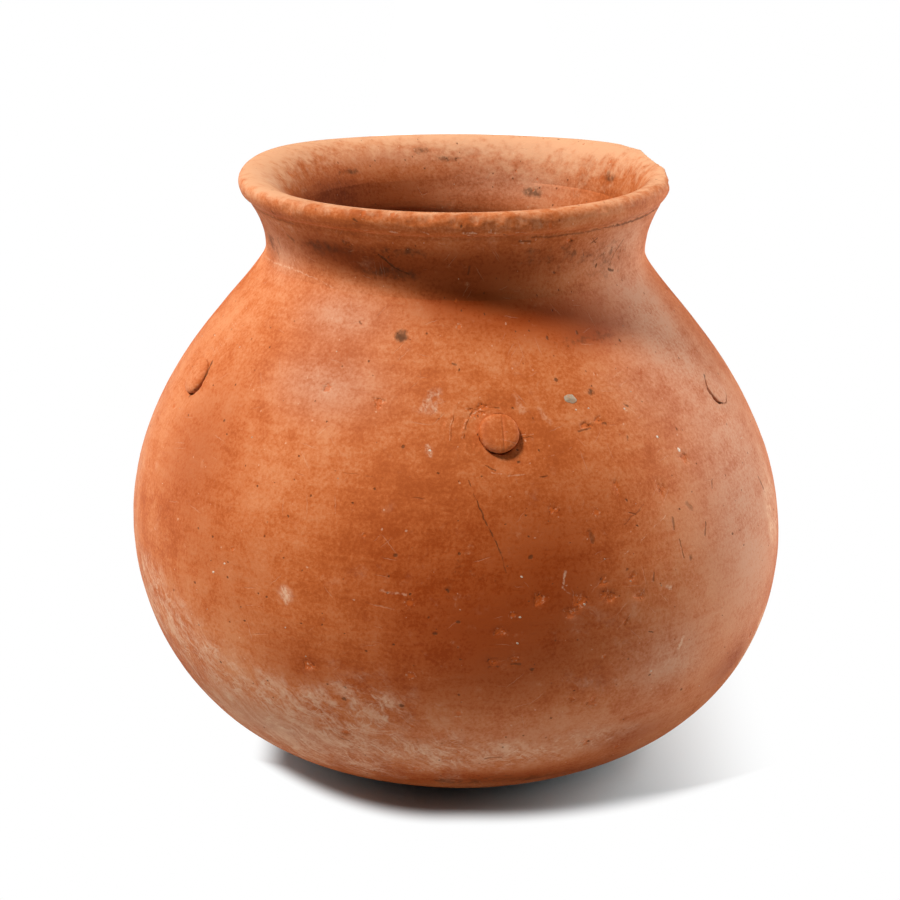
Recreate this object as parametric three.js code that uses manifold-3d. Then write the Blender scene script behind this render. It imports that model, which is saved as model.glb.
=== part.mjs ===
// A hand-built round terracotta jar with five clay studs on its shoulder.
// The wall is raised in courses, each luted with slip to a scarfed edge on the course below, and closed
// by a broad lip. Every stud is a clay pellet pressed into a shallow socket in the leather-hard shoulder.
// Millimetres, +Z up, front towards -Y. The origin is the middle of the worn flat that the jar stands on.
import * as THREE from "three";
import { mergeVertices } from "three/addons/utils/BufferGeometryUtils.js";
import Module from "manifold-3d";

// Outline of the outside of the jar
const restRadius = 47; // worn flat under the base
const bellyRadius = 115; // widest girth
const bellyHeight = 80; // height of the widest girth above the ground
const neckRadius = 65.5; // narrowest part of the neck
const neckRise = 100; // from the widest girth up to the narrowest part of the neck
const crestRadius = 70.8; // highest ring of the lip
const flareRise = 27.7; // from the narrowest part of the neck up to the lip's crest
const lipDrop = 8.4; // from the lip's crest down to the outer edge of its seat
const lipSeatOut = 0.6; // from the lip's crest out to the outer edge of its seat

// Reach of the curve handles, which sets how full each stretch of the outline is
const footReach = 61;
const bellyReachDown = 19;
const bellyReachUp = 55;
const shoulderReach = 12;
const flareReachLow = 4;
const flareReachHigh = 10;
const lipReachOutside = 4.5;
const crestReachOut = 4.2;
const crestReachIn = 7;
const lipReachInside = 8;
const footAngle = 11; // degrees, rise of the underside where it leaves the flat
const flareAngle = 60; // degrees above the horizontal, lean of the wall just under the lip

// Wall thickness, measured square to the wall
const floorThickness = 9;
const bellyThickness = 6.5;
const neckThickness = 8;
const collarEdgeThickness = 11.5; // where the collar meets the lip

// Seams between the courses
const baseSeamHeight = 42; // above the ground
const bellySeamRise = 22; // above the widest girth
const neckSeamDrop = 3.5; // below the narrowest part of the neck
const scarfDrop = 5; // how much lower each seam is inside the wall than outside
const lipScarfDrop = 10; // the same for the lip's seat, because the lip is turned well down into the mouth
const slipGap = 0.4; // height of the slip-filled gap in a seam

// Studs
const studRise = 60.4; // above the widest girth
const rightStudAzimuth = 69; // degrees from the front, positive to the right
const frontStudAzimuth = 8;
const leftStudAzimuth = -68.25;
const backStudStep = (360 + leftStudAzimuth - rightStudAzimuth) / 3; // two more share the rest of the round
const studRadius = 6.5;
const studSeat = 2; // depth of the pellet below the wall's surface
const studProud = 2.6; // height of a whole head above the wall
const rubbedStudProud = 1.5; // height of the stud at the left
const wornStudProud = 0.8; // height of the stud at the right, which is worn down
const studEdgeRise = 0.35; // height of the head's shoulder as a share of its height
const studClearance = 0.3; // drying gap between a pellet and its socket
const studs = [
  { name: "stud_right", azimuth: rightStudAzimuth, proud: wornStudProud },
  { name: "stud_back_right", azimuth: rightStudAzimuth + backStudStep, proud: studProud },
  { name: "stud_back_left", azimuth: leftStudAzimuth - backStudStep, proud: studProud },
  { name: "stud_left", azimuth: leftStudAzimuth, proud: rubbedStudProud },
  { name: "stud_front", azimuth: frontStudAzimuth, proud: studProud },
];

// Unevenness of the hand-built shape
const leanAtMouth = -1.2; // sideways drift of the mouth over the base
const mouthOffCentre = 3; // sideways shift of the mouth's inside, which leaves the lip wider at the left
const rimSag = 2; // how much lower the lip's crest is than at its two corners towards the back
const rimCornerAzimuth = 114; // degrees from the front, on either side
const rimCornerSpread = 32; // degrees
const bellyTilt = -1.5; // degrees, tilt of the widest girth about the front-to-back line
const neckTilt = -1.05; // degrees

// Faceting
const sectorsAround = 60;
const profileStep = 8; // length of wall outline between two rings of vertices
const lipSteps = 6;
const studSectors = 18;
const studHeadSteps = 4;

// Heights that follow from the sizes above
const neckHeight = bellyHeight + neckRise;
const crestHeight = neckHeight + flareRise;

const radians = THREE.MathUtils.degToRad;
const point = (radius, height) => new THREE.Vector2(radius, height);
const fromAngle = (degrees, length) =>
  point(length * Math.cos(radians(degrees)), length * Math.sin(radians(degrees)));

const flareAlong = fromAngle(flareAngle, 1);
const crest = point(crestRadius, crestHeight);
const lipSeat = point(crestRadius + lipSeatOut, crestHeight - lipDrop); // outer edge of the collar's top

// The outside of the wall in section, from the worn flat to the seat of the lip
function makeOutline() {
  const rest = point(restRadius, 0);
  const belly = point(bellyRadius, bellyHeight);
  const neck = point(neckRadius, neckHeight);
  const outline = new THREE.CurvePath();
  outline.add(
    new THREE.CubicBezierCurve(
      rest,
      rest.clone().add(fromAngle(footAngle, footReach)),
      point(bellyRadius, bellyHeight - bellyReachDown),
      belly,
    ),
  );
  outline.add(
    new THREE.CubicBezierCurve(
      belly,
      point(bellyRadius, bellyHeight + bellyReachUp),
      point(neckRadius, neckHeight - shoulderReach),
      neck,
    ),
  );
  outline.add(
    new THREE.CubicBezierCurve(
      neck,
      point(neckRadius, neckHeight + flareReachLow),
      lipSeat.clone().addScaledVector(flareAlong, -flareReachHigh),
      lipSeat,
    ),
  );
  return outline;
}

const outline = makeOutline();
const outlineLength = outline.getLength();

// A value that goes in straight steps from level to level: levels are [height, value] pairs, lowest first.
function alongLevels(height, levels) {
  const above = levels.findIndex((level) => level[0] > height);
  if (above === 0) return levels[0][1];
  if (above < 0) return levels.at(-1)[1];
  const [low, high] = [levels[above - 1], levels[above]];
  return THREE.MathUtils.mapLinear(height, low[0], high[0], low[1], high[1]);
}

function thicknessAt(height) {
  return alongLevels(height, [
    [0, floorThickness],
    [bellyHeight, bellyThickness],
    [neckHeight, neckThickness],
    [lipSeat.y, collarEdgeThickness],
  ]);
}

// How far along the outline, from 0 to 1, the outside of the wall reaches a height
function placeAtHeight(height) {
  let [low, high] = [0, 1];
  for (let halving = 0; halving < 40; halving++) {
    const middle = (low + high) / 2;
    if (outline.getPoint(middle).y < height) low = middle;
    else high = middle;
  }
  return (low + high) / 2;
}

// A point of the wall's inside. Its share of the mouth's sideways shift grows from none under the neck to all.
function insidePoint(place) {
  const outside = outline.getPoint(place);
  const along = outline.getTangent(place);
  const inside = outside.clone().addScaledVector(point(-along.y, along.x), thicknessAt(outside.y));
  inside.shiftShare = alongLevels(outside.y, [
    [neckSeam - scarfDrop, 0],
    [lipSeat.y - lipScarfDrop, 1],
  ]);
  return inside;
}

// Points along a stretch of wall, ends included, on the face that pointAt gives
function stretch(from, to, pointAt) {
  const steps = Math.max(2, Math.round((Math.abs(to - from) * outlineLength) / profileStep));
  return Array.from({ length: steps + 1 }, (_, i) => pointAt(THREE.MathUtils.lerp(from, to, i / steps)));
}

const outsideStretch = (from, to) => stretch(from, to, (place) => outline.getPoint(place));
const insideStretch = (from, to) => stretch(from, to, insidePoint);

// How far the rim sags at a place, none at its two corners and none below the neck
function sagAt({ x, y, z }) {
  const azimuth = Math.abs(THREE.MathUtils.radToDeg(Math.atan2(x, -y)));
  const fromCorner = (azimuth - rimCornerAzimuth) / rimCornerSpread;
  const share = THREE.MathUtils.smoothstep(z, neckHeight, crestHeight);
  return rimSag * share * (1 - Math.exp(-fromCorner * fromCorner));
}

// The hand-built unevenness: the rim sags, and each level of the jar drifts sideways and tilts a little.
function makeUneven(vector) {
  vector.z -= sagAt(vector);
  const tilt = alongLevels(vector.z, [
    [0, 0],
    [bellyHeight, bellyTilt],
    [neckHeight, neckTilt],
    [crestHeight, 0],
  ]);
  vector.z += vector.x * Math.tan(radians(tilt));
  vector.x += leanAtMouth * (vector.z / crestHeight);
  return vector;
}

// Turns a section about the jar's axis, with the seam of the turning at the front.
function revolve(section, sectors) {
  return new THREE.LatheGeometry(section, sectors).rotateX(Math.PI / 2);
}

function revolveWall(section) {
  const geometry = revolve(section, sectorsAround);
  const vertices = geometry.getAttribute("position");
  const vertex = new THREE.Vector3();
  for (let i = 0; i < vertices.count; i++) {
    vertex.fromBufferAttribute(vertices, i);
    vertex.x += mouthOffCentre * (section[i % section.length].shiftShare ?? 0);
    makeUneven(vertex);
    vertices.setXYZ(i, vertex.x, vertex.y, vertex.z);
  }
  return geometry;
}

// Where a course ends: its place on the outside of the wall, and the lower one on the inside
function seamAt(height) {
  return { outside: placeAtHeight(height), inside: placeAtHeight(height - scarfDrop) };
}

const baseSeam = baseSeamHeight;
const bellySeam = bellyHeight + bellySeamRise;
const neckSeam = neckHeight - neckSeamDrop;
const collarTop = { outside: 1, inside: placeAtHeight(lipSeat.y - lipScarfDrop) };

// The bowl that the jar stands on, closed by its floor
function makeBaseBowl() {
  const top = seamAt(baseSeam);
  return revolveWall([
    point(0, 0),
    ...outsideStretch(0, top.outside),
    ...insideStretch(top.inside, 0),
    point(0, floorThickness),
  ]);
}

// One course of wall between two seams, as a closed ring
function makeCourse(bottom, top) {
  const outside = outsideStretch(bottom.outside, top.outside);
  return revolveWall([...outside, ...insideStretch(top.inside, bottom.inside), outside[0].clone()]);
}

// The lip: a strip folded over the collar's edge, round outside and rolled down into the mouth like a funnel
function makeLip() {
  const slip = point(0, slipGap);
  const outerEdge = lipSeat.clone().add(slip);
  const innerEdge = insidePoint(collarTop.inside).add(slip);
  const innerAlong = insidePoint(collarTop.inside).sub(insidePoint(collarTop.inside - 0.01)).normalize();
  const outer = new THREE.CubicBezierCurve(
    outerEdge,
    outerEdge.clone().addScaledVector(flareAlong, lipReachOutside),
    point(crestRadius + crestReachOut, crestHeight),
    crest,
  ).getPoints(lipSteps);
  const inner = new THREE.CubicBezierCurve(
    crest,
    point(crestRadius - crestReachIn, crestHeight),
    innerEdge.clone().addScaledVector(innerAlong, lipReachInside),
    innerEdge,
  ).getPoints(lipSteps);
  for (const [i, vertex] of inner.entries()) vertex.shiftShare = i / lipSteps;
  return revolveWall([...outer, ...inner.slice(1), outer[0].clone()]);
}

// The middle of a stud's seat on the outside of the wall, and the way out of the wall there
function studPlace(degrees) {
  const height = bellyHeight + studRise;
  const azimuth = radians(degrees);
  const nearby = (turn, rise) => {
    const { x, y } = outline.getPoint(placeAtHeight(height + rise));
    return makeUneven(new THREE.Vector3(x * Math.sin(azimuth + turn), -x * Math.cos(azimuth + turn), y));
  };
  const middle = nearby(0, 0);
  const sideways = nearby(0.01, 0).sub(middle);
  const upwards = nearby(0, 1).sub(middle);
  const outwards = sideways.cross(upwards).normalize();
  const turn = new THREE.Quaternion().setFromUnitVectors(new THREE.Vector3(0, 0, 1), outwards);
  return { middle, turn };
}

// A pellet with a flat seat and a low domed head, standing along +Z with the wall's surface at zero
function makeStud(proud) {
  const edge = proud * studEdgeRise;
  const head = new THREE.CubicBezierCurve(
    point(studRadius, edge),
    point(studRadius, proud),
    point(studRadius / 2, proud),
    point(0, proud),
  );
  return revolve(
    [point(0, -studSeat), point(studRadius, -studSeat), ...head.getPoints(studHeadSteps)],
    studSectors,
  );
}

// The space that a pellet is pressed into, open through the outside of the wall
function makeSocketTool() {
  const radius = studRadius + studClearance;
  const floor = -studSeat - studClearance;
  const mouth = studSeat + studProud;
  return revolve([point(0, floor), point(radius, floor), point(radius, mouth), point(0, mouth)], studSectors);
}

const wasm = await Module();
wasm.setup();

function toSolid(geometry) {
  const bare = geometry.clone();
  bare.deleteAttribute("normal");
  bare.deleteAttribute("uv");
  const merged = mergeVertices(bare);
  return new wasm.Manifold(
    new wasm.Mesh({
      numProp: 3,
      vertProperties: merged.getAttribute("position").array,
      triVerts: new Uint32Array(merged.index.array),
    }),
  );
}

function toGeometry(solid) {
  const mesh = solid.getMesh();
  const geometry = new THREE.BufferGeometry();
  geometry.setAttribute("position", new THREE.BufferAttribute(mesh.vertProperties, 3));
  geometry.setIndex(new THREE.BufferAttribute(mesh.triVerts, 1));
  geometry.computeVertexNormals();
  return geometry;
}

// The shoulder course with a socket for each stud
function makeShoulder() {
  let solid = toSolid(makeCourse(seamAt(bellySeam + slipGap), seamAt(neckSeam)));
  for (const { azimuth } of studs) {
    const { middle, turn } = studPlace(azimuth);
    const tool = makeSocketTool().applyQuaternion(turn).translate(middle.x, middle.y, middle.z);
    solid = solid.subtract(toSolid(tool));
  }
  return toGeometry(solid);
}

function clay(colour, roughness) {
  return new THREE.MeshStandardMaterial({ color: colour, roughness, metalness: 0 });
}

const jar = new THREE.Group();

function addPiece(name, geometry, material) {
  const piece = new THREE.Mesh(geometry, material);
  piece.name = name;
  jar.add(piece);
  return piece;
}

addPiece("base_bowl", makeBaseBowl(), clay(0xb98460, 0.9));
addPiece("belly_wall", makeCourse(seamAt(baseSeam + slipGap), seamAt(bellySeam)), clay(0xbc6a40, 0.75));
addPiece("shoulder_wall", makeShoulder(), clay(0xc2703f, 0.72));
addPiece("neck_collar", makeCourse(seamAt(neckSeam + slipGap), collarTop), clay(0xb06b45, 0.8));
addPiece("rim_lip", makeLip(), clay(0xc98256, 0.78));
for (const { name, azimuth, proud } of studs) {
  const { middle, turn } = studPlace(azimuth);
  const stud = addPiece(name, makeStud(proud), clay(0xb9663f, 0.72));
  stud.position.copy(middle);
  stud.quaternion.copy(turn);
}

export default jar;
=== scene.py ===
import math

import bpy
import numpy as np
from mathutils import Matrix, Vector


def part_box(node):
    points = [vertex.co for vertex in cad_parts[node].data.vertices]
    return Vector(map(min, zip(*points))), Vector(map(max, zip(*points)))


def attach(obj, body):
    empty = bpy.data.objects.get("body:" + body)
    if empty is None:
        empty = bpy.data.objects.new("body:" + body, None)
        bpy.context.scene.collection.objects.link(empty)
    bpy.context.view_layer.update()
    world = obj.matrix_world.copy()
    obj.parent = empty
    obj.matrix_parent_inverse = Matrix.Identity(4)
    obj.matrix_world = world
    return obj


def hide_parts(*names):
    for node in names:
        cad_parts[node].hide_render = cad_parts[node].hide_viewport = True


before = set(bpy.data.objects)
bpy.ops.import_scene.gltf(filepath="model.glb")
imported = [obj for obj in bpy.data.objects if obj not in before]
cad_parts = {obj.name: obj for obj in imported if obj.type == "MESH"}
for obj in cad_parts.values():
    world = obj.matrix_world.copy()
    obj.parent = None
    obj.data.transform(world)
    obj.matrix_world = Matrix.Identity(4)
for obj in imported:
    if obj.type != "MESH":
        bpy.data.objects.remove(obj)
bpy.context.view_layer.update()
scene = bpy.context.scene
scene.view_settings.view_transform = "Standard"

# Base bowl
# The jar begins as a thick round bowl of coarse red clay, pressed into a hollow and scraped round outside.
# It is rubbed flat where it stands, and damp ground has left a pale bloom of lime over its lower half.

rest_radius = 0.047
belly_height = 0.080
neck_height = 0.180
neck_radius = 0.0655
crest_radius = 0.0708
scarf_drop = 0.005
lip_scarf_drop = 0.010
neck_seam = 0.1765
belly_low, belly_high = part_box("belly_wall")
belly_radius = (belly_high[0] - belly_low[0]) / 2
crest_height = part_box("rim_lip")[1][2]


def along_angle(degrees, length=1.0):
    return length * np.array([math.cos(math.radians(degrees)), math.sin(math.radians(degrees))])


def bezier(start, start_handle, end_handle, end, steps=300):
    on = np.linspace(0, 1, steps)[:, None]
    back = 1 - on
    return back**3 * start + 3 * back**2 * on * start_handle + 3 * back * on**2 * end_handle + on**3 * end


def bell(distance):
    return np.exp(-(distance**2))


# The outside of the wall in section, as radius and height, from the rubbed flat up to the seat of the lip.
# The lengths under and over a point say how straight the wall runs there before it bends.
up = np.array([0.0, 1.0])
outwards = np.array([1.0, 0.0])
flare_along = along_angle(60)
rest_point = np.array([rest_radius, 0.0])
belly_point = np.array([belly_radius, belly_height])
neck_point = np.array([neck_radius, neck_height])
crest = np.array([crest_radius, crest_height])
lip_seat = crest + np.array([0.0006, -0.0084])
collar_top = lip_seat[1]
over_rest = along_angle(11, 0.061)
under_belly, over_belly = 0.019 * up, 0.055 * up
under_neck, over_neck = 0.012 * up, 0.004 * up
under_seat, over_seat = 0.010 * flare_along, 0.0045 * flare_along
outside_crest = 0.0042 * outwards
outline = np.vstack(
    [
        bezier(rest_point, rest_point + over_rest, belly_point - under_belly, belly_point),
        bezier(belly_point, belly_point + over_belly, neck_point - under_neck, neck_point)[1:],
        bezier(neck_point, neck_point + over_neck, lip_seat - under_seat, lip_seat)[1:],
    ]
)
lip_outside = bezier(lip_seat, lip_seat + over_seat, crest + outside_crest, crest)

# The whole outside with the lip: its heights, the way out of it, and the run along it from the rubbed flat
face = np.vstack([outline, lip_outside[1:]])
wall_height = face[:, 1]
slope = np.gradient(face, axis=0)
slope /= np.linalg.norm(slope, axis=1)[:, None]
wall_out = np.column_stack([slope[:, 1], -slope[:, 0]])
wall_run = np.concatenate([[0.0], np.cumsum(np.linalg.norm(np.diff(face, axis=0), axis=1))])

# The inside of the wall, with the bead of clay that was smeared along the throat to bind the neck's seam.
# Its third column is its share in the sideways shift of the mouth's opening.
throat_bead = 0.0032
bead_reach = 0.0065
thickness_levels = [0.0, belly_height, neck_height, collar_top]
thicknesses = [0.009, 0.0065, 0.008, 0.0115]
outline_height = outline[:, 1]
wall_thickness = np.interp(outline_height, thickness_levels, thicknesses)
wall_thickness += throat_bead * bell((outline_height - neck_height) / bead_reach)
shift_levels = [neck_seam - scarf_drop, collar_top - lip_scarf_drop]
shift_share = np.interp(outline_height, shift_levels, [0.0, 1.0])
inside = np.column_stack([outline - wall_out[: len(outline)] * wall_thickness[:, None], shift_share])
outside = np.column_stack([outline, np.zeros(len(outline))])


# A stretch of the outside or of the inside between two heights of the outside
def line_between(line, low, high):
    places = np.arange(len(line))
    ends = np.interp([low, high], outline_height, places)
    between = np.linspace(ends[0], ends[1], 500)
    return np.column_stack([np.interp(between, places, column) for column in line.T])


# Points along a line with a spacing that may change on the way
def spaced(line, spacing):
    steps = np.linalg.norm(np.diff(line[:, :2], axis=0), axis=1)
    step_spacing = np.broadcast_to(spacing, len(line))[1:]
    count_so_far = np.concatenate([[0.0], np.cumsum(steps / step_spacing)])
    count = max(2, round(count_so_far[-1]))
    wanted = np.linspace(0, count_so_far[-1], count + 1)
    return np.column_stack([np.interp(wanted, count_so_far, column) for column in line.T])


def place(tree, kind, inputs=None, **options):
    node = tree.nodes.new(kind)
    for option, value in options.items():
        setattr(node, option, value)
    for key, value in (inputs or {}).items():
        if isinstance(value, bpy.types.NodeSocket):
            tree.links.new(value, node.inputs[key])
        else:
            node.inputs[key].default_value = value
    return node


def calculate(tree, operation, first, second=0.0, third=0.0):
    inputs = {0: first, 1: second, 2: third}
    return place(tree, "ShaderNodeMath", inputs, operation=operation).outputs[0]


def times(tree, first, second):
    return calculate(tree, "MULTIPLY", first, second)


# A base value with a share of another value added to it
def add_share(tree, value, share, base):
    return calculate(tree, "MULTIPLY_ADD", value, share, base)


def combined(tree, across, deep, high):
    return place(tree, "ShaderNodeCombineXYZ", {0: across, 1: deep, 2: high}).outputs[0]


def vector_maths(tree, operation, first, second):
    return place(tree, "ShaderNodeVectorMath", {0: first, 1: second}, operation=operation).outputs


def scaled(tree, vector, factor):
    return place(tree, "ShaderNodeVectorMath", {0: vector, "Scale": factor}, operation="SCALE").outputs[0]


def ramp(tree, value, low, high, smooth=True):
    inputs = {"Value": value, "From Min": low, "From Max": high}
    kind = "SMOOTHSTEP" if smooth else "LINEAR"
    return place(tree, "ShaderNodeMapRange", inputs, interpolation_type=kind).outputs["Result"]


def noise(tree, point, size, detail=3.0, roughness=0.55):
    inputs = {"Vector": point, "Scale": 1 / size, "Detail": detail, "Roughness": roughness}
    return place(tree, "ShaderNodeTexNoise", inputs).outputs[0]


def stretched(tree, point, factors):
    return vector_maths(tree, "MULTIPLY", point, factors)[0]


def new_tree(name, kind, inputs, outputs):
    tree = bpy.data.node_groups.new(name, kind)
    for direction, sockets in (("INPUT", inputs), ("OUTPUT", outputs)):
        for socket, socket_kind in sockets.items():
            tree.interface.new_socket(name=socket, in_out=direction, socket_type="NodeSocket" + socket_kind)
    return tree, tree.nodes.new("NodeGroupInput").outputs, tree.nodes.new("NodeGroupOutput").inputs


# Turns a section about the jar's axis, then gives it the lean, the tilt and the waver of hand-built work.
def make_turning_tree():
    tree, given, result = new_tree(
        "Turned clay",
        "GeometryNodeTree",
        {
            "Section": "Object",
            "Turns": "Object",
            "Rows": "Int",
            "Columns": "Int",
            "Off centre": "Float",
            "Lean": "Float",
            "Belly tilt": "Float",
            "Neck tilt": "Float",
            "Belly height": "Float",
            "Neck height": "Float",
            "Crest height": "Float",
            "Waver": "Float",
            "Waver size": "Float",
            "Ripple": "Float",
            "Clay": "Material",
        },
        {"Piece": "Geometry"},
    )
    grid = place(tree, "GeometryNodeMeshGrid", {"Vertices X": given["Columns"], "Vertices Y": given["Rows"]})
    index = tree.nodes.new("GeometryNodeInputIndex").outputs[0]
    row = calculate(tree, "MODULO", index, given["Rows"])
    column = calculate(tree, "FLOOR", calculate(tree, "DIVIDE", index, given["Rows"]))
    position = tree.nodes.new("GeometryNodeInputPosition").outputs[0]

    def picked(source, number):
        lines = place(tree, "GeometryNodeObjectInfo", {"Object": source}).outputs["Geometry"]
        inputs = {"Geometry": lines, "Value": position, "Index": number}
        sample = place(tree, "GeometryNodeSampleIndex", inputs, data_type="FLOAT_VECTOR", domain="POINT")
        return place(tree, "ShaderNodeSeparateXYZ", {0: sample.outputs[0]}).outputs

    radius, share, height = picked(given["Section"], row)
    turn = picked(given["Turns"], column)[0]
    sideways = calculate(tree, "SINE", turn)
    backwards = times(tree, calculate(tree, "COSINE", turn), -1.0)
    turned = combined(tree, times(tree, radius, sideways), times(tree, radius, backwards), height)
    shift = times(tree, share, given["Off centre"])
    shaped = place(tree, "GeometryNodeSetPosition", {"Geometry": grid.outputs["Mesh"], "Position": turned})
    kept = place(
        tree,
        "GeometryNodeStoreNamedAttribute",
        {"Geometry": shaped.outputs[0], "Name": "as_turned", "Value": position},
        data_type="FLOAT_VECTOR",
        domain="POINT",
    )
    to_belly = ramp(tree, height, 0.0, given["Belly height"], smooth=False)
    to_neck = ramp(tree, height, given["Belly height"], given["Neck height"], smooth=False)
    to_crest = ramp(tree, height, given["Neck height"], given["Crest height"], smooth=False)
    change = calculate(tree, "SUBTRACT", given["Neck tilt"], given["Belly tilt"])
    tilt = times(tree, to_belly, given["Belly tilt"])
    tilt = add_share(tree, to_neck, change, tilt)
    tilt = add_share(tree, to_crest, times(tree, given["Neck tilt"], -1.0), tilt)
    start = place(tree, "ShaderNodeSeparateXYZ", {0: position}).outputs
    raised = times(tree, start[0], calculate(tree, "TANGENT", tilt))
    level = calculate(tree, "DIVIDE", start[2], given["Crest height"])
    drift = add_share(tree, given["Lean"], level, shift)
    size = calculate(tree, "DIVIDE", 1.0, given["Waver size"])
    inputs = {"Vector": position, "Scale": size, "Detail": 3.0, "Roughness": 0.45}
    waver = place(tree, "ShaderNodeTexNoise", inputs).outputs[0]
    ridges = noise(tree, stretched(tree, position, (0.12, 0.12, 1.0)), 0.006, 2.0)
    push = times(tree, calculate(tree, "SUBTRACT", waver, 0.7), given["Waver"])
    push = add_share(tree, calculate(tree, "SUBTRACT", ridges, 0.6), given["Ripple"], push)
    offset = combined(tree, add_share(tree, push, sideways, drift), times(tree, push, backwards), raised)
    uneven = place(tree, "GeometryNodeSetPosition", {"Geometry": kept.outputs[0], "Offset": offset})
    closed = place(tree, "GeometryNodeMergeByDistance", {"Geometry": uneven.outputs[0], "Distance": 1e-6})
    smooth = place(tree, "GeometryNodeSetShadeSmooth", {"Geometry": closed.outputs[0]})
    real = place(tree, "GeometryNodeRealizeInstances", {"Geometry": smooth.outputs[0]})
    clad = place(tree, "GeometryNodeSetMaterial", {"Geometry": real.outputs[0], "Material": given["Clay"]})
    tree.links.new(clad.outputs[0], result["Piece"])
    return tree


turning_tree = make_turning_tree()
jar_unevenness = {
    "Off centre": 0.003,
    "Lean": -0.0012,
    "Belly tilt": math.radians(-1.5),
    "Neck tilt": math.radians(-1.05),
    "Belly height": belly_height,
    "Neck height": neck_height,
    "Crest height": crest_height,
    "Waver": 0.0016,
    "Waver size": 0.075,
    "Ripple": 0.00022,
}


def add_object(name, data):
    added = bpy.data.objects.new(name, data)
    scene.collection.objects.link(added)
    return added


def row_of_points(name, points):
    mesh = bpy.data.meshes.new(name)
    mesh.from_pydata(points, [], [])
    return add_object(name, mesh)


# Runs a tree on an empty object with the given inputs and keeps the result as a plain mesh.
def grown(name, tree, values):
    piece = add_object(name, bpy.data.meshes.new(name))
    modifier = piece.modifiers.new(tree.name, "NODES")
    modifier.node_group = tree
    for key, value in values.items():
        modifier[tree.interface.items_tree[key].identifier] = value
    depsgraph = bpy.context.evaluated_depsgraph_get()
    mesh = bpy.data.meshes.new_from_object(piece.evaluated_get(depsgraph), depsgraph=depsgraph)
    piece.modifiers.clear()
    piece.data = mesh
    mesh.name = name
    return piece


def turned_piece(name, section, turns, material, unevenness=jar_unevenness, sharp_angle=40):
    section_points = [(radius, share, height) for radius, height, share in section]
    section_row = row_of_points(name + "_section", section_points)
    turns_row = row_of_points(name + "_turns", [(turn, 0.0, 0.0) for turn in turns])
    values = {
        "Section": section_row,
        "Turns": turns_row,
        "Rows": len(section),
        "Columns": len(turns),
        "Clay": material,
    }
    piece = grown(name, turning_tree, values | unevenness)
    piece.data.set_sharp_from_angle(angle=math.radians(sharp_angle))
    for row in (section_row, turns_row):
        bpy.data.meshes.remove(row.data)
    return piece


def even_turns(spacing):
    return np.linspace(-math.pi, math.pi, round(2 * math.pi * belly_radius / spacing) + 1)


# A closed ring of wall between two seams: outside going up, inside coming down
def course_section(low, high, outer_spacing, inner_spacing, top_drop=scarf_drop):
    outer = spaced(line_between(outside, low, high), outer_spacing)
    inner = spaced(line_between(inside, low - scarf_drop, high - top_drop), inner_spacing)[::-1]
    return np.vstack([outer, inner, outer[:1]])


def read_vectors(mesh, name):
    values = np.empty(len(mesh.vertices) * 3, np.float32)
    mesh.attributes[name].data.foreach_get("vector", values)
    return values.reshape(-1, 3).astype(float)


def write_numbers(mesh, name, values):
    layer = mesh.attributes.get(name) or mesh.attributes.new(name, "FLOAT", "POINT")
    layer.data.foreach_set("value", np.ascontiguousarray(values, np.float32))


def write_points(mesh, points):
    mesh.vertices.foreach_set("co", np.ascontiguousarray(points, np.float32).ravel())


# The number of the point at each corner of each face
def corner_points(mesh):
    corners = np.empty(len(mesh.loops), np.int32)
    mesh.loops.foreach_get("vertex_index", corners)
    return corners


# An angle brought to within half a turn either way
def within_half_turn(angle):
    return (angle + math.pi) % (2 * math.pi) - math.pi


outer_skin = 0.0015


# Where each point lies on the unrolled wall: its azimuth, its run up the wall, and the way out of the wall
class Wall:
    def __init__(self, piece):
        self.mesh = piece.data
        start = read_vectors(self.mesh, "as_turned")
        self.height = start[:, 2]
        self.radius = np.hypot(start[:, 0], start[:, 1])
        self.azimuth = np.arctan2(start[:, 0], -start[:, 1])
        self.run = np.interp(self.height, wall_height, wall_run)
        self.on_outside = self.radius > np.interp(self.height, wall_height, face[:, 0]) - outer_skin
        self.points = read_vectors(self.mesh, "position")
        out = np.interp(self.height, wall_height, wall_out[:, 0])
        rise = np.interp(self.height, wall_height, wall_out[:, 1])
        self.out = np.column_stack([out * np.sin(self.azimuth), -out * np.cos(self.azimuth), rise])

    # Distances across and up the wall from a place given in degrees and millimetres
    def away_from(self, azimuth, height):
        turn = within_half_turn(self.azimuth - math.radians(azimuth))
        up_wall = self.run - np.interp(height / 1000, wall_height, wall_run)
        return turn * self.radius * 1000, up_wall * 1000

    # The number of the wall's own point nearest a place
    def nearest(self, azimuth, height):
        across, up_wall = self.away_from(azimuth, height)
        return np.argmin(np.where(self.on_outside, np.hypot(across, up_wall), np.inf))

    def keep(self):
        write_points(self.mesh, self.points)
        self.mesh.update()


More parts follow.
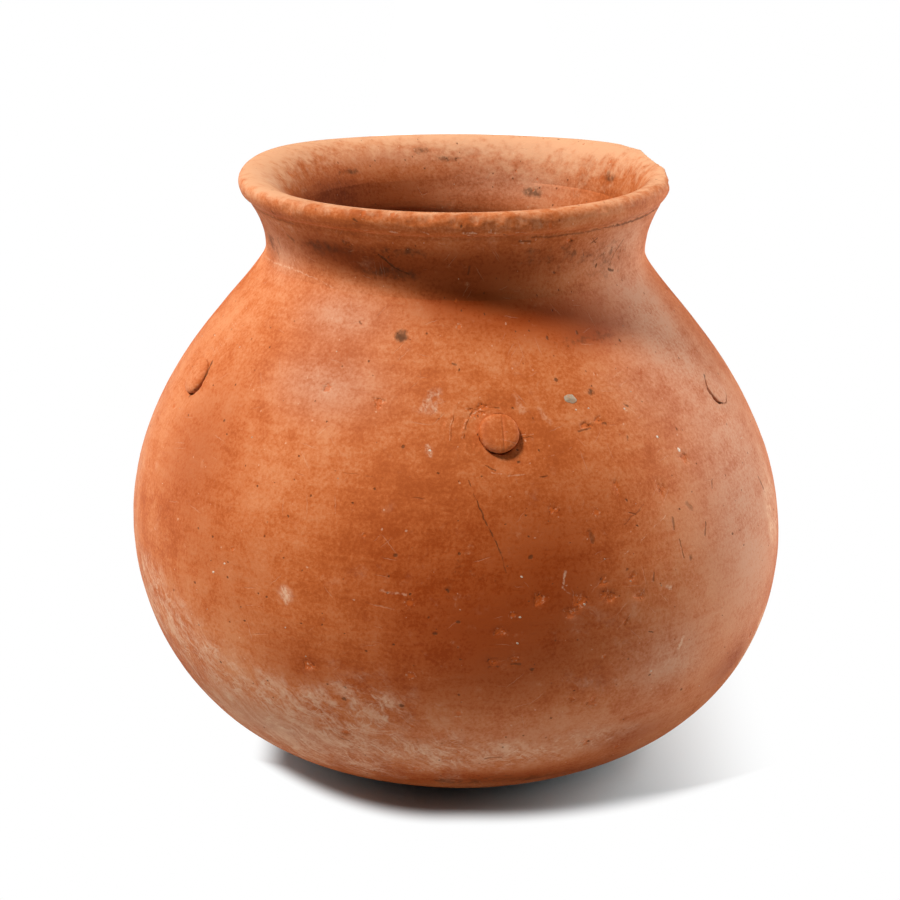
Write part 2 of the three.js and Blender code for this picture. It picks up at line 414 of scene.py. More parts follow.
# Broad stains and blooms, with painted shade and painted sheen among them: azimuth in degrees, then height,
# half-width and half-height in millimetres, and strength
stains_and_painted_light = {
    "lime": [
        (-66, 66, 22, 18, 0.95),
        (-52, 55, 24, 13, 0.85),
        (-33, 49, 28, 12, 0.9),
        (-16, 53, 18, 10, 0.9),
        (-36, 32, 46, 13, 0.95),
        (0, 36, 40, 9, 0.7),
        (24, 37, 26, 8, 0.45),
        (71, 52, 9, 10, 0.95),
        (70, 46, 8, 6, 0.8),
        (40, 62, 14, 9, 0.35),
        (-82, 92, 12, 26, 0.5),
        (-28, 89, 3, 3, 0.8),
        (-4.5, 149, 3, 4.5, 0.85),
        (-5, 136, 2.5, 3, 0.6),
        (25, 86, 16, 8, 0.3),
        (24, 62, 18, 8, 0.35),
        (-4, 24, 50, 7, 0.15),
        (-36, 20, 40, 8, 0.6),
        (75, 103, 9, 16, 0.95),
        (73, 93, 8, 9, 0.9),
        (-84, 204, 16, 5, 0.6),
        (98, 42, 40, 12, 0.6),
        (150, 52, 48, 15, 0.7),
        (-142, 44, 44, 14, 0.7),
        (-104, 58, 30, 16, 0.75),
        (180, 28, 60, 12, 0.6),
    ],
    "deep": [
        # The front of the belly: partly its own deeper tone, partly painted shade, deepest low in the middle
        # where it turns from the lamp
        (4, 86, 38, 24, 0.85),
        (4, 72, 26, 15, 0.35),
        (16, 97, 16, 14, 0.55),
        (14, 106, 20, 12, 0.35),
        (-6, 106, 30, 20, 0.25),
        (16, 118, 30, 16, 0.35),
        (-54, 120, 22, 28, 0.45),
        (-40, 92, 30, 20, 0.25),
        # Painted shadow of the lip on the neck, and on the shoulder below it at the right
        (2, 178, 18, 8, 0.95),
        (22, 171, 24, 7, 0.9),
        (36, 165, 18, 6, 0.85),
        (-37, 190, 14, 6, 0.85),
        (-20, 187, 26, 6, 0.8),
        (6, 188, 28, 8, 0.75),
        # Painted shade near the foot at the front and low on the right
        (8, 20, 44, 9, 0.8),
        (34, 34, 16, 8, 0.6),
        (58, 49, 15, 10, 0.75),
        # Deeper tone low on the front left and round the back
        (-26, 66, 16, 10, 0.35),
        (-12, 64, 14, 10, 0.3),
        (120, 84, 50, 24, 0.6),
        (-150, 96, 55, 26, 0.7),
        (178, 130, 40, 22, 0.5),
    ],
    "bleached_and_sheen": [
        # Paler clay on the right side up to the neck, partly its own colour and partly painted sheen from
        # the lamp at the right
        (61, 92, 30, 40, 0.78),
        (66, 132, 26, 36, 0.78),
        (62, 168, 16, 20, 0.9),
        (46, 150, 14, 14, 0.35),
        (60, 154, 14, 14, 0.8),
        (38, 64, 18, 14, 0.75),
        # Painted sheen along the left edge, then pale clay with painted sheen on the right of the neck
        (-86, 84, 14, 46, 0.5),
        (56, 190, 18, 12, 0.7),
        # Paler patches at the upper left, low on the front and round the back
        (-29, 151, 18, 11, 0.7),
        (-32, 169, 16, 9, 0.65),
        (-62, 183, 14, 8, 0.5),
        (20, 40, 60, 14, 0.3),
        (-34, 34, 30, 9, 0.7),
        (130, 120, 40, 40, 0.6),
        (-120, 120, 34, 40, 0.5),
    ],
    "grime_and_shade": [
        # Smudges of soot along the lip's shadow on the neck and shoulder, which also deepen it as painted
        # shadow
        (30, 190, 22, 8, 0.5),
        (48, 184, 18, 10, 0.48),
        (-20, 184, 18, 4, 0.66),
        (-40, 191, 14, 4, 0.66),
        (-14, 193, 20, 3, 0.52),
        (-70, 186, 10, 6, 0.6),
        (36, 164, 16, 4, 0.5),
        # Dark spots and dirt on the front
        (-13.5, 166, 3.0, 2.6, 0.82),
        (2, 100, 26, 14, 0.3),
        (12, 40, 30, 6, 0.3),
        # Painted shade near the foot, and all round the underside where the jar stands, so that little light
        # comes off it into the floor's contact shadow
        (8, 18, 44, 7, 0.65),
        (0, 3, 500, 14, 0.9),
        # Dirt round the back
        (150, 188, 40, 9, 0.4),
        (-150, 182, 30, 8, 0.5),
        (90, 150, 30, 14, 0.3),
    ],
}

# The same for the inside of the mouth. Its deep entries on the left of the inside are painted shade, where
# the wall faces away from the lamp.
mouth_stains_and_painted_light = {
    "lime": [(-84, 204, 16, 6, 0.6), (170, 203, 26, 3, 0.3)],
    "deep": [(-154, 186, 26, 9, 0.7), (-120, 188, 24, 9, 0.5), (-60, 186, 40, 9, 0.7)],
    "bleached_and_sheen": [(162, 192, 24, 8, 0.6), (-165, 202, 30, 4, 0.35)],
    "grime_and_shade": [
        (-167, 203, 4, 1.8, 0.95),
        (-177, 200, 7, 1.6, 0.9),
        (-136, 197, 7, 2.0, 0.95),
        (153, 189, 5, 3.0, 0.9),
        (117, 198, 4, 2.5, 0.9),
    ],
}


def stained(wall, blots):
    clear = np.ones(len(wall.run))
    for azimuth, height, half_across, half_up, strength in blots:
        across, up_wall = wall.away_from(azimuth, height)
        clear *= 1 - strength * np.exp(-((across / half_across) ** 2) - (up_wall / half_up) ** 2)
    return 1 - clear


def lay_stains_and_painted_light(wall):
    for stain_name, blots in stains_and_painted_light.items():
        seen_inside = stained(wall, mouth_stains_and_painted_light[stain_name])
        write_numbers(wall.mesh, stain_name, np.where(wall.on_outside, stained(wall, blots), seen_inside))


# Spalls, where a flake has come off and left raw clay. A flake is its azimuth in degrees, then its height,
# half-width, half-height and depth in millimetres.
def spall(wall, flakes):
    raw = np.zeros(len(wall.run))
    for number, (azimuth, height, half_across, half_up, depth) in enumerate(flakes):
        across, up_wall = wall.away_from(azimuth, height)
        ragged = np.sin(1.9 * across + 1.3 * up_wall + number)
        ragged *= np.sin(1.6 * up_wall - 1.1 * across + 2 * number)
        across, up_wall = across / half_across, up_wall / half_up
        around = np.arctan2(up_wall, across)
        edge = 1 + 0.25 * np.sin(3 * around + number) + 0.18 * np.sin(5 * around + 2.3 * number)
        edge += 0.3 * ragged
        inwards = np.clip(1.15 - np.hypot(across, up_wall) / edge, 0, 1) * wall.on_outside
        crumbled = 1 + 0.5 * np.sin(9 * across + 5 * up_wall) * np.sin(8 * up_wall - 4 * across)
        wall.points -= wall.out * (np.clip(inwards * 2, 0, 1) * crumbled * depth / 1000)[:, None]
        raw = np.maximum(raw, np.clip(inwards * 1.6, 0, 1))
    write_numbers(wall.mesh, "raw", raw)


def write_map(mesh, places):
    layer = mesh.uv_layers.new(name="unrolled")
    layer.data.foreach_set("uv", np.ascontiguousarray(places, np.float32).ravel())


# Lays the piece's texture map out flat: across in metres at the belly's girth, and up by the run of the wall
def unroll(wall, up_wall):
    mesh = wall.mesh
    corners = corner_points(mesh)
    starts = np.empty(len(mesh.polygons), np.int32)
    mesh.polygons.foreach_get("loop_start", starts)
    turn = wall.azimuth[corners]
    most = np.maximum.reduceat(turn, starts)
    least = np.minimum.reduceat(turn, starts)
    counts = np.diff(np.append(starts, len(corners)))
    across_back = np.repeat(most - least > math.pi, counts)
    turn = np.where(across_back & (turn < 0), turn + 2 * math.pi, turn)
    write_map(mesh, np.column_stack([turn * belly_radius, up_wall[corners]]))


def unrolled_place(azimuth, height):
    return (math.radians(azimuth) * belly_radius, np.interp(height / 1000, wall_height, wall_run), 0.0)


def mix_colour(tree, mask, first, second):
    node = place(tree, "ShaderNodeMix", {0: mask, 6: first, 7: second}, data_type="RGBA")
    return node.outputs[2]


def object_point(tree):
    return tree.nodes.new("ShaderNodeTexCoord").outputs["Object"]


def greater(tree, first, second):
    return calculate(tree, "MAXIMUM", first, second)


# The strongest of several masks, or nothing where there are none
def strongest(tree, masks):
    mask = None
    for other in masks:
        mask = other if mask is None else greater(tree, mask, other)
    return mask


def opposite(tree, mask):
    return calculate(tree, "SUBTRACT", 1.0, mask)


# Noise is about a half, and this brings it to about nought.
def centred(tree, value):
    return calculate(tree, "SUBTRACT", value, 0.5)


# Fired clay, from deep red-brown through orange to pale, clouded by the fire and wiped sideways when wet
def make_tone_group():
    tree, given, result = new_tree(
        "Clay tone",
        "ShaderNodeTree",
        {"Pale": "Color", "Middle": "Color", "Deep": "Color", "Depth": "Float"},
        {"Colour": "Color", "Mottle": "Float", "Wipe": "Float", "Grain": "Float"},
    )
    point = object_point(tree)
    cloud = noise(tree, point, 0.05, 3.0)
    blotch = noise(tree, point, 0.011, 5.0, 0.62)
    wipe = noise(tree, stretched(tree, point, (0.14, 0.14, 1.0)), 0.0022, 4.0, 0.6)
    stroke = noise(tree, stretched(tree, point, (1.0, 1.0, 0.16)), 0.0055, 3.0, 0.55)
    grain = noise(tree, point, 0.0011, 4.0, 0.7)
    level = times(tree, cloud, 0.28)
    level = add_share(tree, blotch, 0.22, level)
    level = add_share(tree, wipe, 0.12, level)
    level = add_share(tree, stroke, 0.08, level)
    level = add_share(tree, grain, 0.30, level)
    low = opposite(tree, ramp(tree, level, 0.39, 0.53))
    depth = add_share(tree, low, 0.5, given["Depth"])
    depth = calculate(tree, "MINIMUM", depth, 1.0)
    high = times(tree, ramp(tree, level, 0.46, 0.62), opposite(tree, depth))
    colour = mix_colour(tree, high, given["Middle"], given["Pale"])
    colour = mix_colour(tree, depth, colour, given["Deep"])
    tree.links.new(colour, result["Colour"])
    tree.links.new(level, result["Mottle"])
    tree.links.new(wipe, result["Wipe"])
    tree.links.new(grain, result["Grain"])
    return tree


# Small marks scattered over the wall, such as pinholes, flecks and scratches. Each keeps to a cell of its
# own, and its size is a share of that cell.
def make_marks_group():
    tree, given, result = new_tree(
        "Scattered marks",
        "ShaderNodeTree",
        {
            "Point": "Vector",
            "Slant": "Float",
            "Cell length": "Float",
            "Cell width": "Float",
            "Share": "Float",
            "Least": "Float",
            "Most": "Float",
        },
        {"Mask": "Float", "Rim": "Float"},
    )
    inputs = {"Vector": given["Point"], "Angle": given["Slant"]}
    slanted = place(tree, "ShaderNodeVectorRotate", inputs, rotation_type="Z_AXIS").outputs[0]
    cell = combined(tree, given["Cell length"], given["Cell width"], 1.0)
    inputs = {"Vector": vector_maths(tree, "DIVIDE", slanted, cell)[0], "Scale": 1.0}
    cells = place(tree, "ShaderNodeTexVoronoi", inputs, voronoi_dimensions="2D").outputs
    chance = place(tree, "ShaderNodeSeparateColor", {0: cells["Color"]}).outputs
    chosen = calculate(tree, "LESS_THAN", chance[0], given["Share"])
    spread = calculate(tree, "SUBTRACT", given["Most"], given["Least"])
    reach = add_share(tree, chance[1], spread, given["Least"])
    outside_core = ramp(tree, cells["Distance"], times(tree, reach, 0.4), reach)
    mask = times(tree, chosen, opposite(tree, outside_core))
    beyond = ramp(tree, cells["Distance"], reach, times(tree, reach, 1.5))
    rim = times(tree, outside_core, opposite(tree, beyond))
    tree.links.new(mask, result["Mask"])
    tree.links.new(times(tree, chosen, rim), result["Rim"])
    return tree


# The point, pushed about a little so that the edges of marks are ragged and lines bend
def ragged_point(tree, point, size, reach, place_in_noise=None):
    inputs = {"Vector": place_in_noise or point, "Scale": 1 / size, "Detail": 2.0}
    wander = place(tree, "ShaderNodeTexNoise", inputs).outputs["Color"]
    shift = vector_maths(tree, "SUBTRACT", wander, (0.5, 0.5, 0.5))[0]
    return vector_maths(tree, "ADD", point, scaled(tree, shift, reach))[0]


# Lime bloom: a thin pale veil where the amount is high and finer wisps in it, in strokes that bend down
# round the wall
def make_bloom_group():
    tree, given, result = new_tree(
        "Lime bloom",
        "ShaderNodeTree",
        {"Point": "Vector", "Amount": "Float"},
        {"Mask": "Float", "Wisps": "Float"},
    )
    point = object_point(tree)
    bent = ragged_point(tree, given["Point"], 0.014, 0.018, point)
    across, up_wall, _ = place(tree, "ShaderNodeSeparateXYZ", {0: bent}).outputs

    def strokes(slope, size, detail):
        turn = add_share(tree, up_wall, slope, across)
        turn = calculate(tree, "DIVIDE", turn, belly_radius)
        along = combined(
            tree,
            times(tree, calculate(tree, "SINE", turn), belly_radius),
            times(tree, calculate(tree, "COSINE", turn), belly_radius),
            times(tree, up_wall, 0.25),
        )
        return noise(tree, along, size, detail, 0.65)

    def thin_lines(slope, size, width):
        off_line = calculate(tree, "ABSOLUTE", centred(tree, strokes(slope, size, 2.0)))
        return opposite(tree, ramp(tree, off_line, 0.0, width))

    patches = centred(tree, noise(tree, point, 0.013, 5.0, 0.62))
    cover = ramp(tree, add_share(tree, patches, 1.4, given["Amount"]), 0.12, 0.85)
    brushed = times(tree, strokes(1.2, 0.0032, 5.0), 0.55)
    brushed = add_share(tree, noise(tree, point, 0.0012, 4.0, 0.7), 0.45, brushed)
    thin_spots = centred(tree, noise(tree, point, 0.007, 3.0))
    brushed = add_share(tree, thin_spots, 0.5, brushed)
    mask = times(tree, cover, ramp(tree, brushed, 0.38, 0.68))
    wisps = greater(tree, thin_lines(0.9, 0.007, 0.04), thin_lines(-1.8, 0.009, 0.03))
    broken_up = ramp(tree, noise(tree, point, 0.005, 3.0), 0.45, 0.62)
    wisps = times(tree, times(tree, wisps, broken_up), cover)
    tree.links.new(mask, result["Mask"])
    tree.links.new(wisps, result["Wisps"])
    return tree


# Dark dirt and soot, gathered in dots and smudges. Under the lip and round the foot the same mask lays
# painted shade.
def make_grime_and_shade_group():
    tree, given, result = new_tree("Grime and painted shade", "ShaderNodeTree", {"Amount": "Float"}, {"Mask": "Float"})
    point = object_point(tree)
    dots = noise(tree, point, 0.0026, 5.0, 0.7)
    smudges = noise(tree, point, 0.012, 4.0, 0.6)
    level = add_share(tree, dots, 0.75, times(tree, smudges, 0.5))
    level = add_share(tree, given["Amount"], 0.55, level)
    tree.links.new(ramp(tree, level, 0.83, 1.12), result["Mask"])
    return tree


# A scored line between two places, or a dot where they are the same
def make_score_group():
    tree, given, result = new_tree(
        "Scored line",
        "ShaderNodeTree",
        {"Point": "Vector", "From": "Vector", "To": "Vector", "Half width": "Float", "Thinning": "Float"},
        {"Mask": "Float"},
    )
    away = vector_maths(tree, "SUBTRACT", given["Point"], given["From"])[0]
    whole = vector_maths(tree, "SUBTRACT", given["To"], given["From"])[0]
    square = greater(tree, vector_maths(tree, "DOT_PRODUCT", whole, whole)["Value"], 1e-9)
    share = calculate(tree, "DIVIDE", vector_maths(tree, "DOT_PRODUCT", away, whole)["Value"], square)
    share = calculate(tree, "MINIMUM", greater(tree, share, 0.0), 1.0)
    nearest = scaled(tree, whole, share)
    distance = vector_maths(tree, "DISTANCE", away, nearest)["Value"]
    half = times(tree, given["Half width"], given["Thinning"])
    inner = times(tree, half, 0.2)
    outer = add_share(tree, half, 1.3, 0.00008)
    tree.links.new(opposite(tree, ramp(tree, distance, inner, outer)), result["Mask"])
    return tree


def use_group(tree, group, inputs):
    return place(tree, "ShaderNodeGroup", inputs, node_tree=group).outputs


tone_group = make_tone_group()
marks_group = make_marks_group()
bloom_group = make_bloom_group()
grime_and_shade_group = make_grime_and_shade_group()
score_group = make_score_group()

clay_pale = (0.54, 0.203, 0.083, 1)
clay_middle = (0.46, 0.114, 0.027, 1)
clay_deep = (0.25, 0.038, 0.0035, 1)
limed_clay_middle = (0.46, 0.125, 0.034, 1)
lime_colour = (0.62, 0.355, 0.22, 1)
fleck_colour = (0.66, 0.44, 0.29, 1)
grime_and_shade_colour = (0.055, 0.024, 0.010, 1)
pit_colour = (0.10, 0.032, 0.010, 1)
score_and_shadow_colour = (0.07, 0.026, 0.009, 1)
raw_colour = (0.47, 0.088, 0.011, 1)
bleached_and_sheen_colour = (0.50, 0.25, 0.15, 1)
rubbed_colour = (0.62, 0.33, 0.18, 1)


def stain(tree, name):
    return place(tree, "ShaderNodeAttribute", attribute_name=name).outputs["Fac"]


# Marks set one by one: azimuth and height of both ends, half-width in millimetres, and strength
def scored_mask(tree, point, thinning, scores):
    lines = []
    for azimuth, height, end_azimuth, end_height, half_width, strength in scores:
        inputs = {
            "Point": point,
            "From": unrolled_place(azimuth, height),
            "To": unrolled_place(end_azimuth, end_height),
            "Half width": half_width / 1000,
            "Thinning": thinning,
        }
        lines.append(times(tree, use_group(tree, score_group, inputs)["Mask"], strength))
    return strongest(tree, lines)


def new_material(name):
    material = bpy.data.materials.new(name)
    material.use_nodes = True
    return material, material.node_tree


# Joins a colour, a roughness and a relief to the material's own shader
def join_surface(tree, colour, rough, height, relief, depth, gloss):
    sockets = tree.nodes["Principled BSDF"].inputs
    bump = place(tree, "ShaderNodeBump", {"Height": height, "Strength": relief, "Distance": depth})
    tree.links.new(colour, sockets["Base Color"])
    tree.links.new(rough, sockets["Roughness"])
    tree.links.new(bump.outputs[0], sockets["Normal"])
    sockets["Specular IOR Level"].default_value = gloss


# One clay finish. Scores are dark lines and rubs are pale ones.
def clay_material(name, tones, roughness, relief, scores=(), rubs=(), soil_and_shade=1.0):
    material, tree = new_material(name)
    flat_point = place(tree, "ShaderNodeUVMap", uv_map="unrolled").outputs[0]
    ragged = ragged_point(tree, flat_point, 0.0014, 0.0011)

    def marks(cell, share, least, most, slant=0.0):
        inputs = {"Point": ragged, "Slant": slant, "Cell length": cell[0], "Cell width": cell[1]}
        return use_group(tree, marks_group, inputs | {"Share": share, "Least": least, "Most": most})

    def tinted(colour, mask, strength, tint):
        return mix_colour(tree, times(tree, mask, strength), colour, tint)

    def deeper(height, mask, depth):
        return add_share(tree, mask, -depth, height)

    # The tone from the fire, deepened in places as painted shade, then fading with painted sheen, rubbing,
    # lime and dirt, some of it painted shade
    pale, middle, deep = tones
    inputs = {"Pale": pale, "Middle": middle, "Deep": deep, "Depth": stain(tree, "deep")}
    tone = use_group(tree, tone_group, inputs)
    grain = centred(tree, tone["Grain"])
    faded_and_sheen_mask = times(tree, stain(tree, "bleached_and_sheen"), ramp(tree, tone["Mottle"], 0.34, 0.57))
    colour = tinted(tone["Colour"], faded_and_sheen_mask, 1.2, bleached_and_sheen_colour)
    worn = centred(tree, noise(tree, object_point(tree), 0.004, 5.0, 0.65))
    rubbed = ramp(tree, add_share(tree, worn, 1.6, stain(tree, "rubbed")), 0.15, 0.9)
    colour = tinted(colour, rubbed, 0.85, rubbed_colour)
    bloom = use_group(tree, bloom_group, {"Point": flat_point, "Amount": stain(tree, "lime")})
    lime = bloom["Mask"]
    colour = tinted(colour, lime, 0.9, lime_colour)
    colour = tinted(colour, bloom["Wisps"], 0.5, fleck_colour)
    soiled_and_shaded = times(tree, stain(tree, "grime_and_shade"), soil_and_shade)
    grime_and_shade = use_group(tree, grime_and_shade_group, {"Amount": soiled_and_shaded})["Mask"]
    colour = tinted(colour, grime_and_shade, 0.72, grime_and_shade_colour)

    # Raw clay where flakes and crumbs came off, with a pale crust and dark pits in it
    flaked = stain(tree, "raw")
    spalled = add_share(tree, worn, 1.5, flaked)
    spalled = add_share(tree, grain, 1.2, spalled)
    crumbs = marks(cell=(0.016, 0.013), share=0.1, least=0.04, most=0.11)
    raw = greater(tree, ramp(tree, spalled, 0.34, 0.66), crumbs["Mask"])
    colour = tinted(colour, raw, 0.5, raw_colour)
    crust = times(tree, ramp(tree, flaked, 0.05, 0.4), ramp(tree, grain, 0.06, 0.14))
    crumb_edges = times(tree, crumbs["Rim"], ramp(tree, grain, 0.03, 0.12))
    crust = greater(tree, crust, crumb_edges)
    colour = tinted(colour, crust, 0.28, fleck_colour)
    pits = times(tree, ramp(tree, flaked, 0.1, 0.5), ramp(tree, grain, -0.08, -0.16))
    colour = tinted(colour, pits, 0.65, grime_and_shade_colour)

    # Scratches, pale flecks and pinholes, scattered over the whole wall
    slants_and_shares = ((0.12, 0.1), (-0.25, 0.08), (0.8, 0.05), (-0.75, 0.08), (1.4, 0.06))
    scratch = {"cell": (0.04, 0.0018), "least": 0.04, "most": 0.13}
    scratches = strongest(
        tree, [marks(share=share, slant=slant, **scratch)["Mask"] for slant, share in slants_and_shares]
    )
    scratched = add_share(tree, lime, 0.4, 0.14)
    colour = tinted(colour, times(tree, scratches, scratched), 1.0, fleck_colour)
    flecks = marks(cell=(0.0085, 0.0075), share=0.2, least=0.015, most=0.07)["Mask"]
    colour = tinted(colour, flecks, 0.36, fleck_colour)
    small_holes = marks(cell=(0.0075, 0.0065), share=0.24, least=0.02, most=0.085)["Mask"]
    large_holes = marks(cell=(0.021, 0.018), share=0.22, least=0.02, most=0.055)["Mask"]
    pinholes = greater(tree, small_holes, large_holes)
    colour = tinted(colour, pinholes, 0.75, pit_colour)

    # The relief, and the marks that were set one by one
    height = times(tree, tone["Wipe"], 0.5)
    height = add_share(tree, tone["Grain"], 0.65, height)
    height = add_share(tree, lime, 0.3, height)
    height = deeper(height, pinholes, 1.2)
    height = deeper(height, raw, 0.8)
    height = deeper(height, scratches, 0.3)
    drawn = ragged_point(tree, flat_point, 0.004, 0.0016)
    thinning = noise(tree, flat_point, 0.0024, 2.0)
    thinning = add_share(tree, thinning, 2.4, -0.3)
    dark = scored_mask(tree, drawn, thinning, scores)
    if dark is not None:
        colour = tinted(colour, dark, 0.85, score_and_shadow_colour)
        height = deeper(height, dark, 1.6)
    light = scored_mask(tree, drawn, thinning, rubs)
    if light is not None:
        light = times(tree, light, ramp(tree, grain, -0.16, 0.1))
        colour = tinted(colour, light, 0.8, fleck_colour)
    rough = add_share(tree, tone["Mottle"], 0.25, roughness - 0.12)
    rough = add_share(tree, lime, 0.15, rough)
    join_surface(tree, colour, rough, height, relief, depth=0.0003, gloss=0.07)
    return material


def stand_for(piece, node):
    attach(piece, "root")
    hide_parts(node)


def finish_wall(piece, flakes, node, up_wall=None):
    wall = Wall(piece)
    spall(wall, flakes)
    lay_stains_and_painted_light(wall)
    unroll(wall, wall.run if up_wall is None else up_wall)
    wall.keep()
    stand_for(piece, node)
    return wall


base_seam = 0.042
base_scores = [
    (-22, 38, -20, 37, 0.3, 0.6),
    (5, 33, 8, 33.5, 0.35, 0.6),
    (-12, 44, -11.6, 43.6, 0.5, 0.8),
]
base_clay = clay_material(
    "Limed base clay",
    (clay_pale, limed_clay_middle, clay_deep),
    roughness=0.72,
    relief=0.7,
    scores=base_scores,
)
floor_spacing = 0.004
floor_line = np.array([[0.0, 0.0, 0.0], outside[0]])
floor_inside = np.array([inside[0], [0.0, inside[0, 1], 0.0]])
bowl_section = np.vstack(
    [
        spaced(floor_line, floor_spacing)[:-1],
        spaced(line_between(outside, 0.0, base_seam), spacing=0.0009),
        spaced(line_between(inside, 0.0, base_seam - scarf_drop), spacing=0.003)[::-1],
        spaced(floor_inside, floor_spacing)[1:],
    ]
)
base_bowl = turned_piece("base_bowl_clay", bowl_section, even_turns(spacing=0.00115), base_clay)
base_flakes = [
    (24, 36, 2.0, 1.6, 0.3),
    (-8, 26, 2.2, 1.4, 0.3),
    (-20.2, 41, 1.6, 1.4, 0.3),
    (-120, 30, 3.0, 2.0, 0.4),
    (140, 34, 2.5, 1.8, 0.4),
]
finish_wall(base_bowl, base_flakes, "base_bowl")

# Belly wall
# A broad strip of the same clay, lapped on the bowl's scarfed edge and beaten out to the jar's widest girth.
# Its outside was wiped and lightly burnished, and small flakes have come away since.

belly_seam = 0.102
body_tones = (clay_pale, clay_middle, clay_deep)
belly_scores = [
    (7.1, 107.6, 8.0, 100, 0.15, 0.5),
    (-3.6, 82.3, -3.6, 82.3, 0.7, 0.9),
    (-4.3, 86.9, -4.3, 86.9, 0.45, 0.8),
    (-1.6, 96.4, -1.4, 96, 0.6, 0.8),
    (-31.9, 86.3, -31.9, 86.3, 0.6, 0.9),
    (-18.6, 59.8, -18.6, 59.8, 0.6, 0.9),
    (33.3, 96.7, 33.2, 93.9, 0.35, 0.7),
    (41.6, 97.9, 41.6, 97.9, 0.8, 0.6),
    (28.3, 98.8, 28.3, 98.8, 0.5, 0.8),
    (8.5, 72.0, 9.9, 71.8, 0.35, 0.7),
    (5.0, 71.2, 6.3, 71.1, 0.35, 0.7),
    (32.1, 77.4, 32.8, 76.8, 0.4, 0.9),
    (28.3, 69.1, 28.3, 69.1, 0.5, 0.7),
    (39.7, 104.4, 40.2, 98.5, 0.3, 0.6),
]
belly_rubs = [
    (17.5, 101, 16.9, 96.3, 0.4, 0.7),
    (16.9, 96.3, 18.2, 93.5, 0.3, 0.6),
    (36.0, 90.8, 36.8, 90.2, 0.7, 0.8),
    (39.6, 72.0, 39.0, 68.5, 0.8, 0.7),
    (-28.6, 90.0, -28.2, 87.0, 1.4, 0.6),
    (-24.9, 66.2, -24.2, 65.0, 0.4, 0.7),
    (-12, 94.5, -8, 94.0, 0.5, 0.35),
]
belly_clay = clay_material(
    "Burnished belly clay",
    body_tones,
    roughness=0.62,
    relief=0.55,
    scores=belly_scores,
    rubs=belly_rubs,
)
belly_wall = turned_piece(
    "belly_wall_clay",
    course_section(base_seam, belly_seam, outer_spacing=0.00085, inner_spacing=0.004),
    even_turns(spacing=0.00085),
    belly_clay,
)
belly_flakes = [
    (17.8, 88.0, 2.4, 1.4, 0.3),
    (19.5, 91.5, 2.8, 2.2, 0.2),
    (25.1, 91.5, 2.0, 1.6, 0.35),
    (23.6, 92.6, 1.2, 1.2, 0.25),
    (23.8, 96.8, 1.6, 1.4, 0.3),
    (30.5, 90.3, 1.9, 1.4, 0.35),
    (29.2, 96.6, 1.5, 1.4, 0.3),
    (27.6, 83.0, 1.2, 1.0, 0.3),
    (12.9, 93.0, 2.0, 1.8, 0.25),
    (6.5, 83.1, 1.8, 1.2, 0.25),
    (22.7, 54.4, 1.8, 2.4, 0.35),
    (18.9, 56.9, 1.6, 1.0, 0.25),
    (9.0, 73.6, 1.8, 1.0, 0.25),
    (5.4, 73.0, 1.8, 1.0, 0.25),
    (-24.7, 65.7, 2.2, 1.8, 0.25),
    (-100, 76, 2.4, 1.8, 0.4),
    (132, 90, 2.6, 2.0, 0.4),
    (170, 70, 2.2, 2.6, 0.4),
    (-150, 64, 2.0, 1.6, 0.4),
]
belly_course = finish_wall(belly_wall, belly_flakes, "belly_wall")

# Shoulder wall
# The strip that closes in from the belly to the neck. While it was leather-hard the potter pressed a socket
# for each stud and smeared wet clay round it with a finger.

stud_height = 140.4
stud_azimuths = {
    "stud_right": 69.0,
    "stud_back_right": 143.25,
    "stud_back_left": -142.5,
    "stud_left": -68.25,
    "stud_front": 8.0,
}


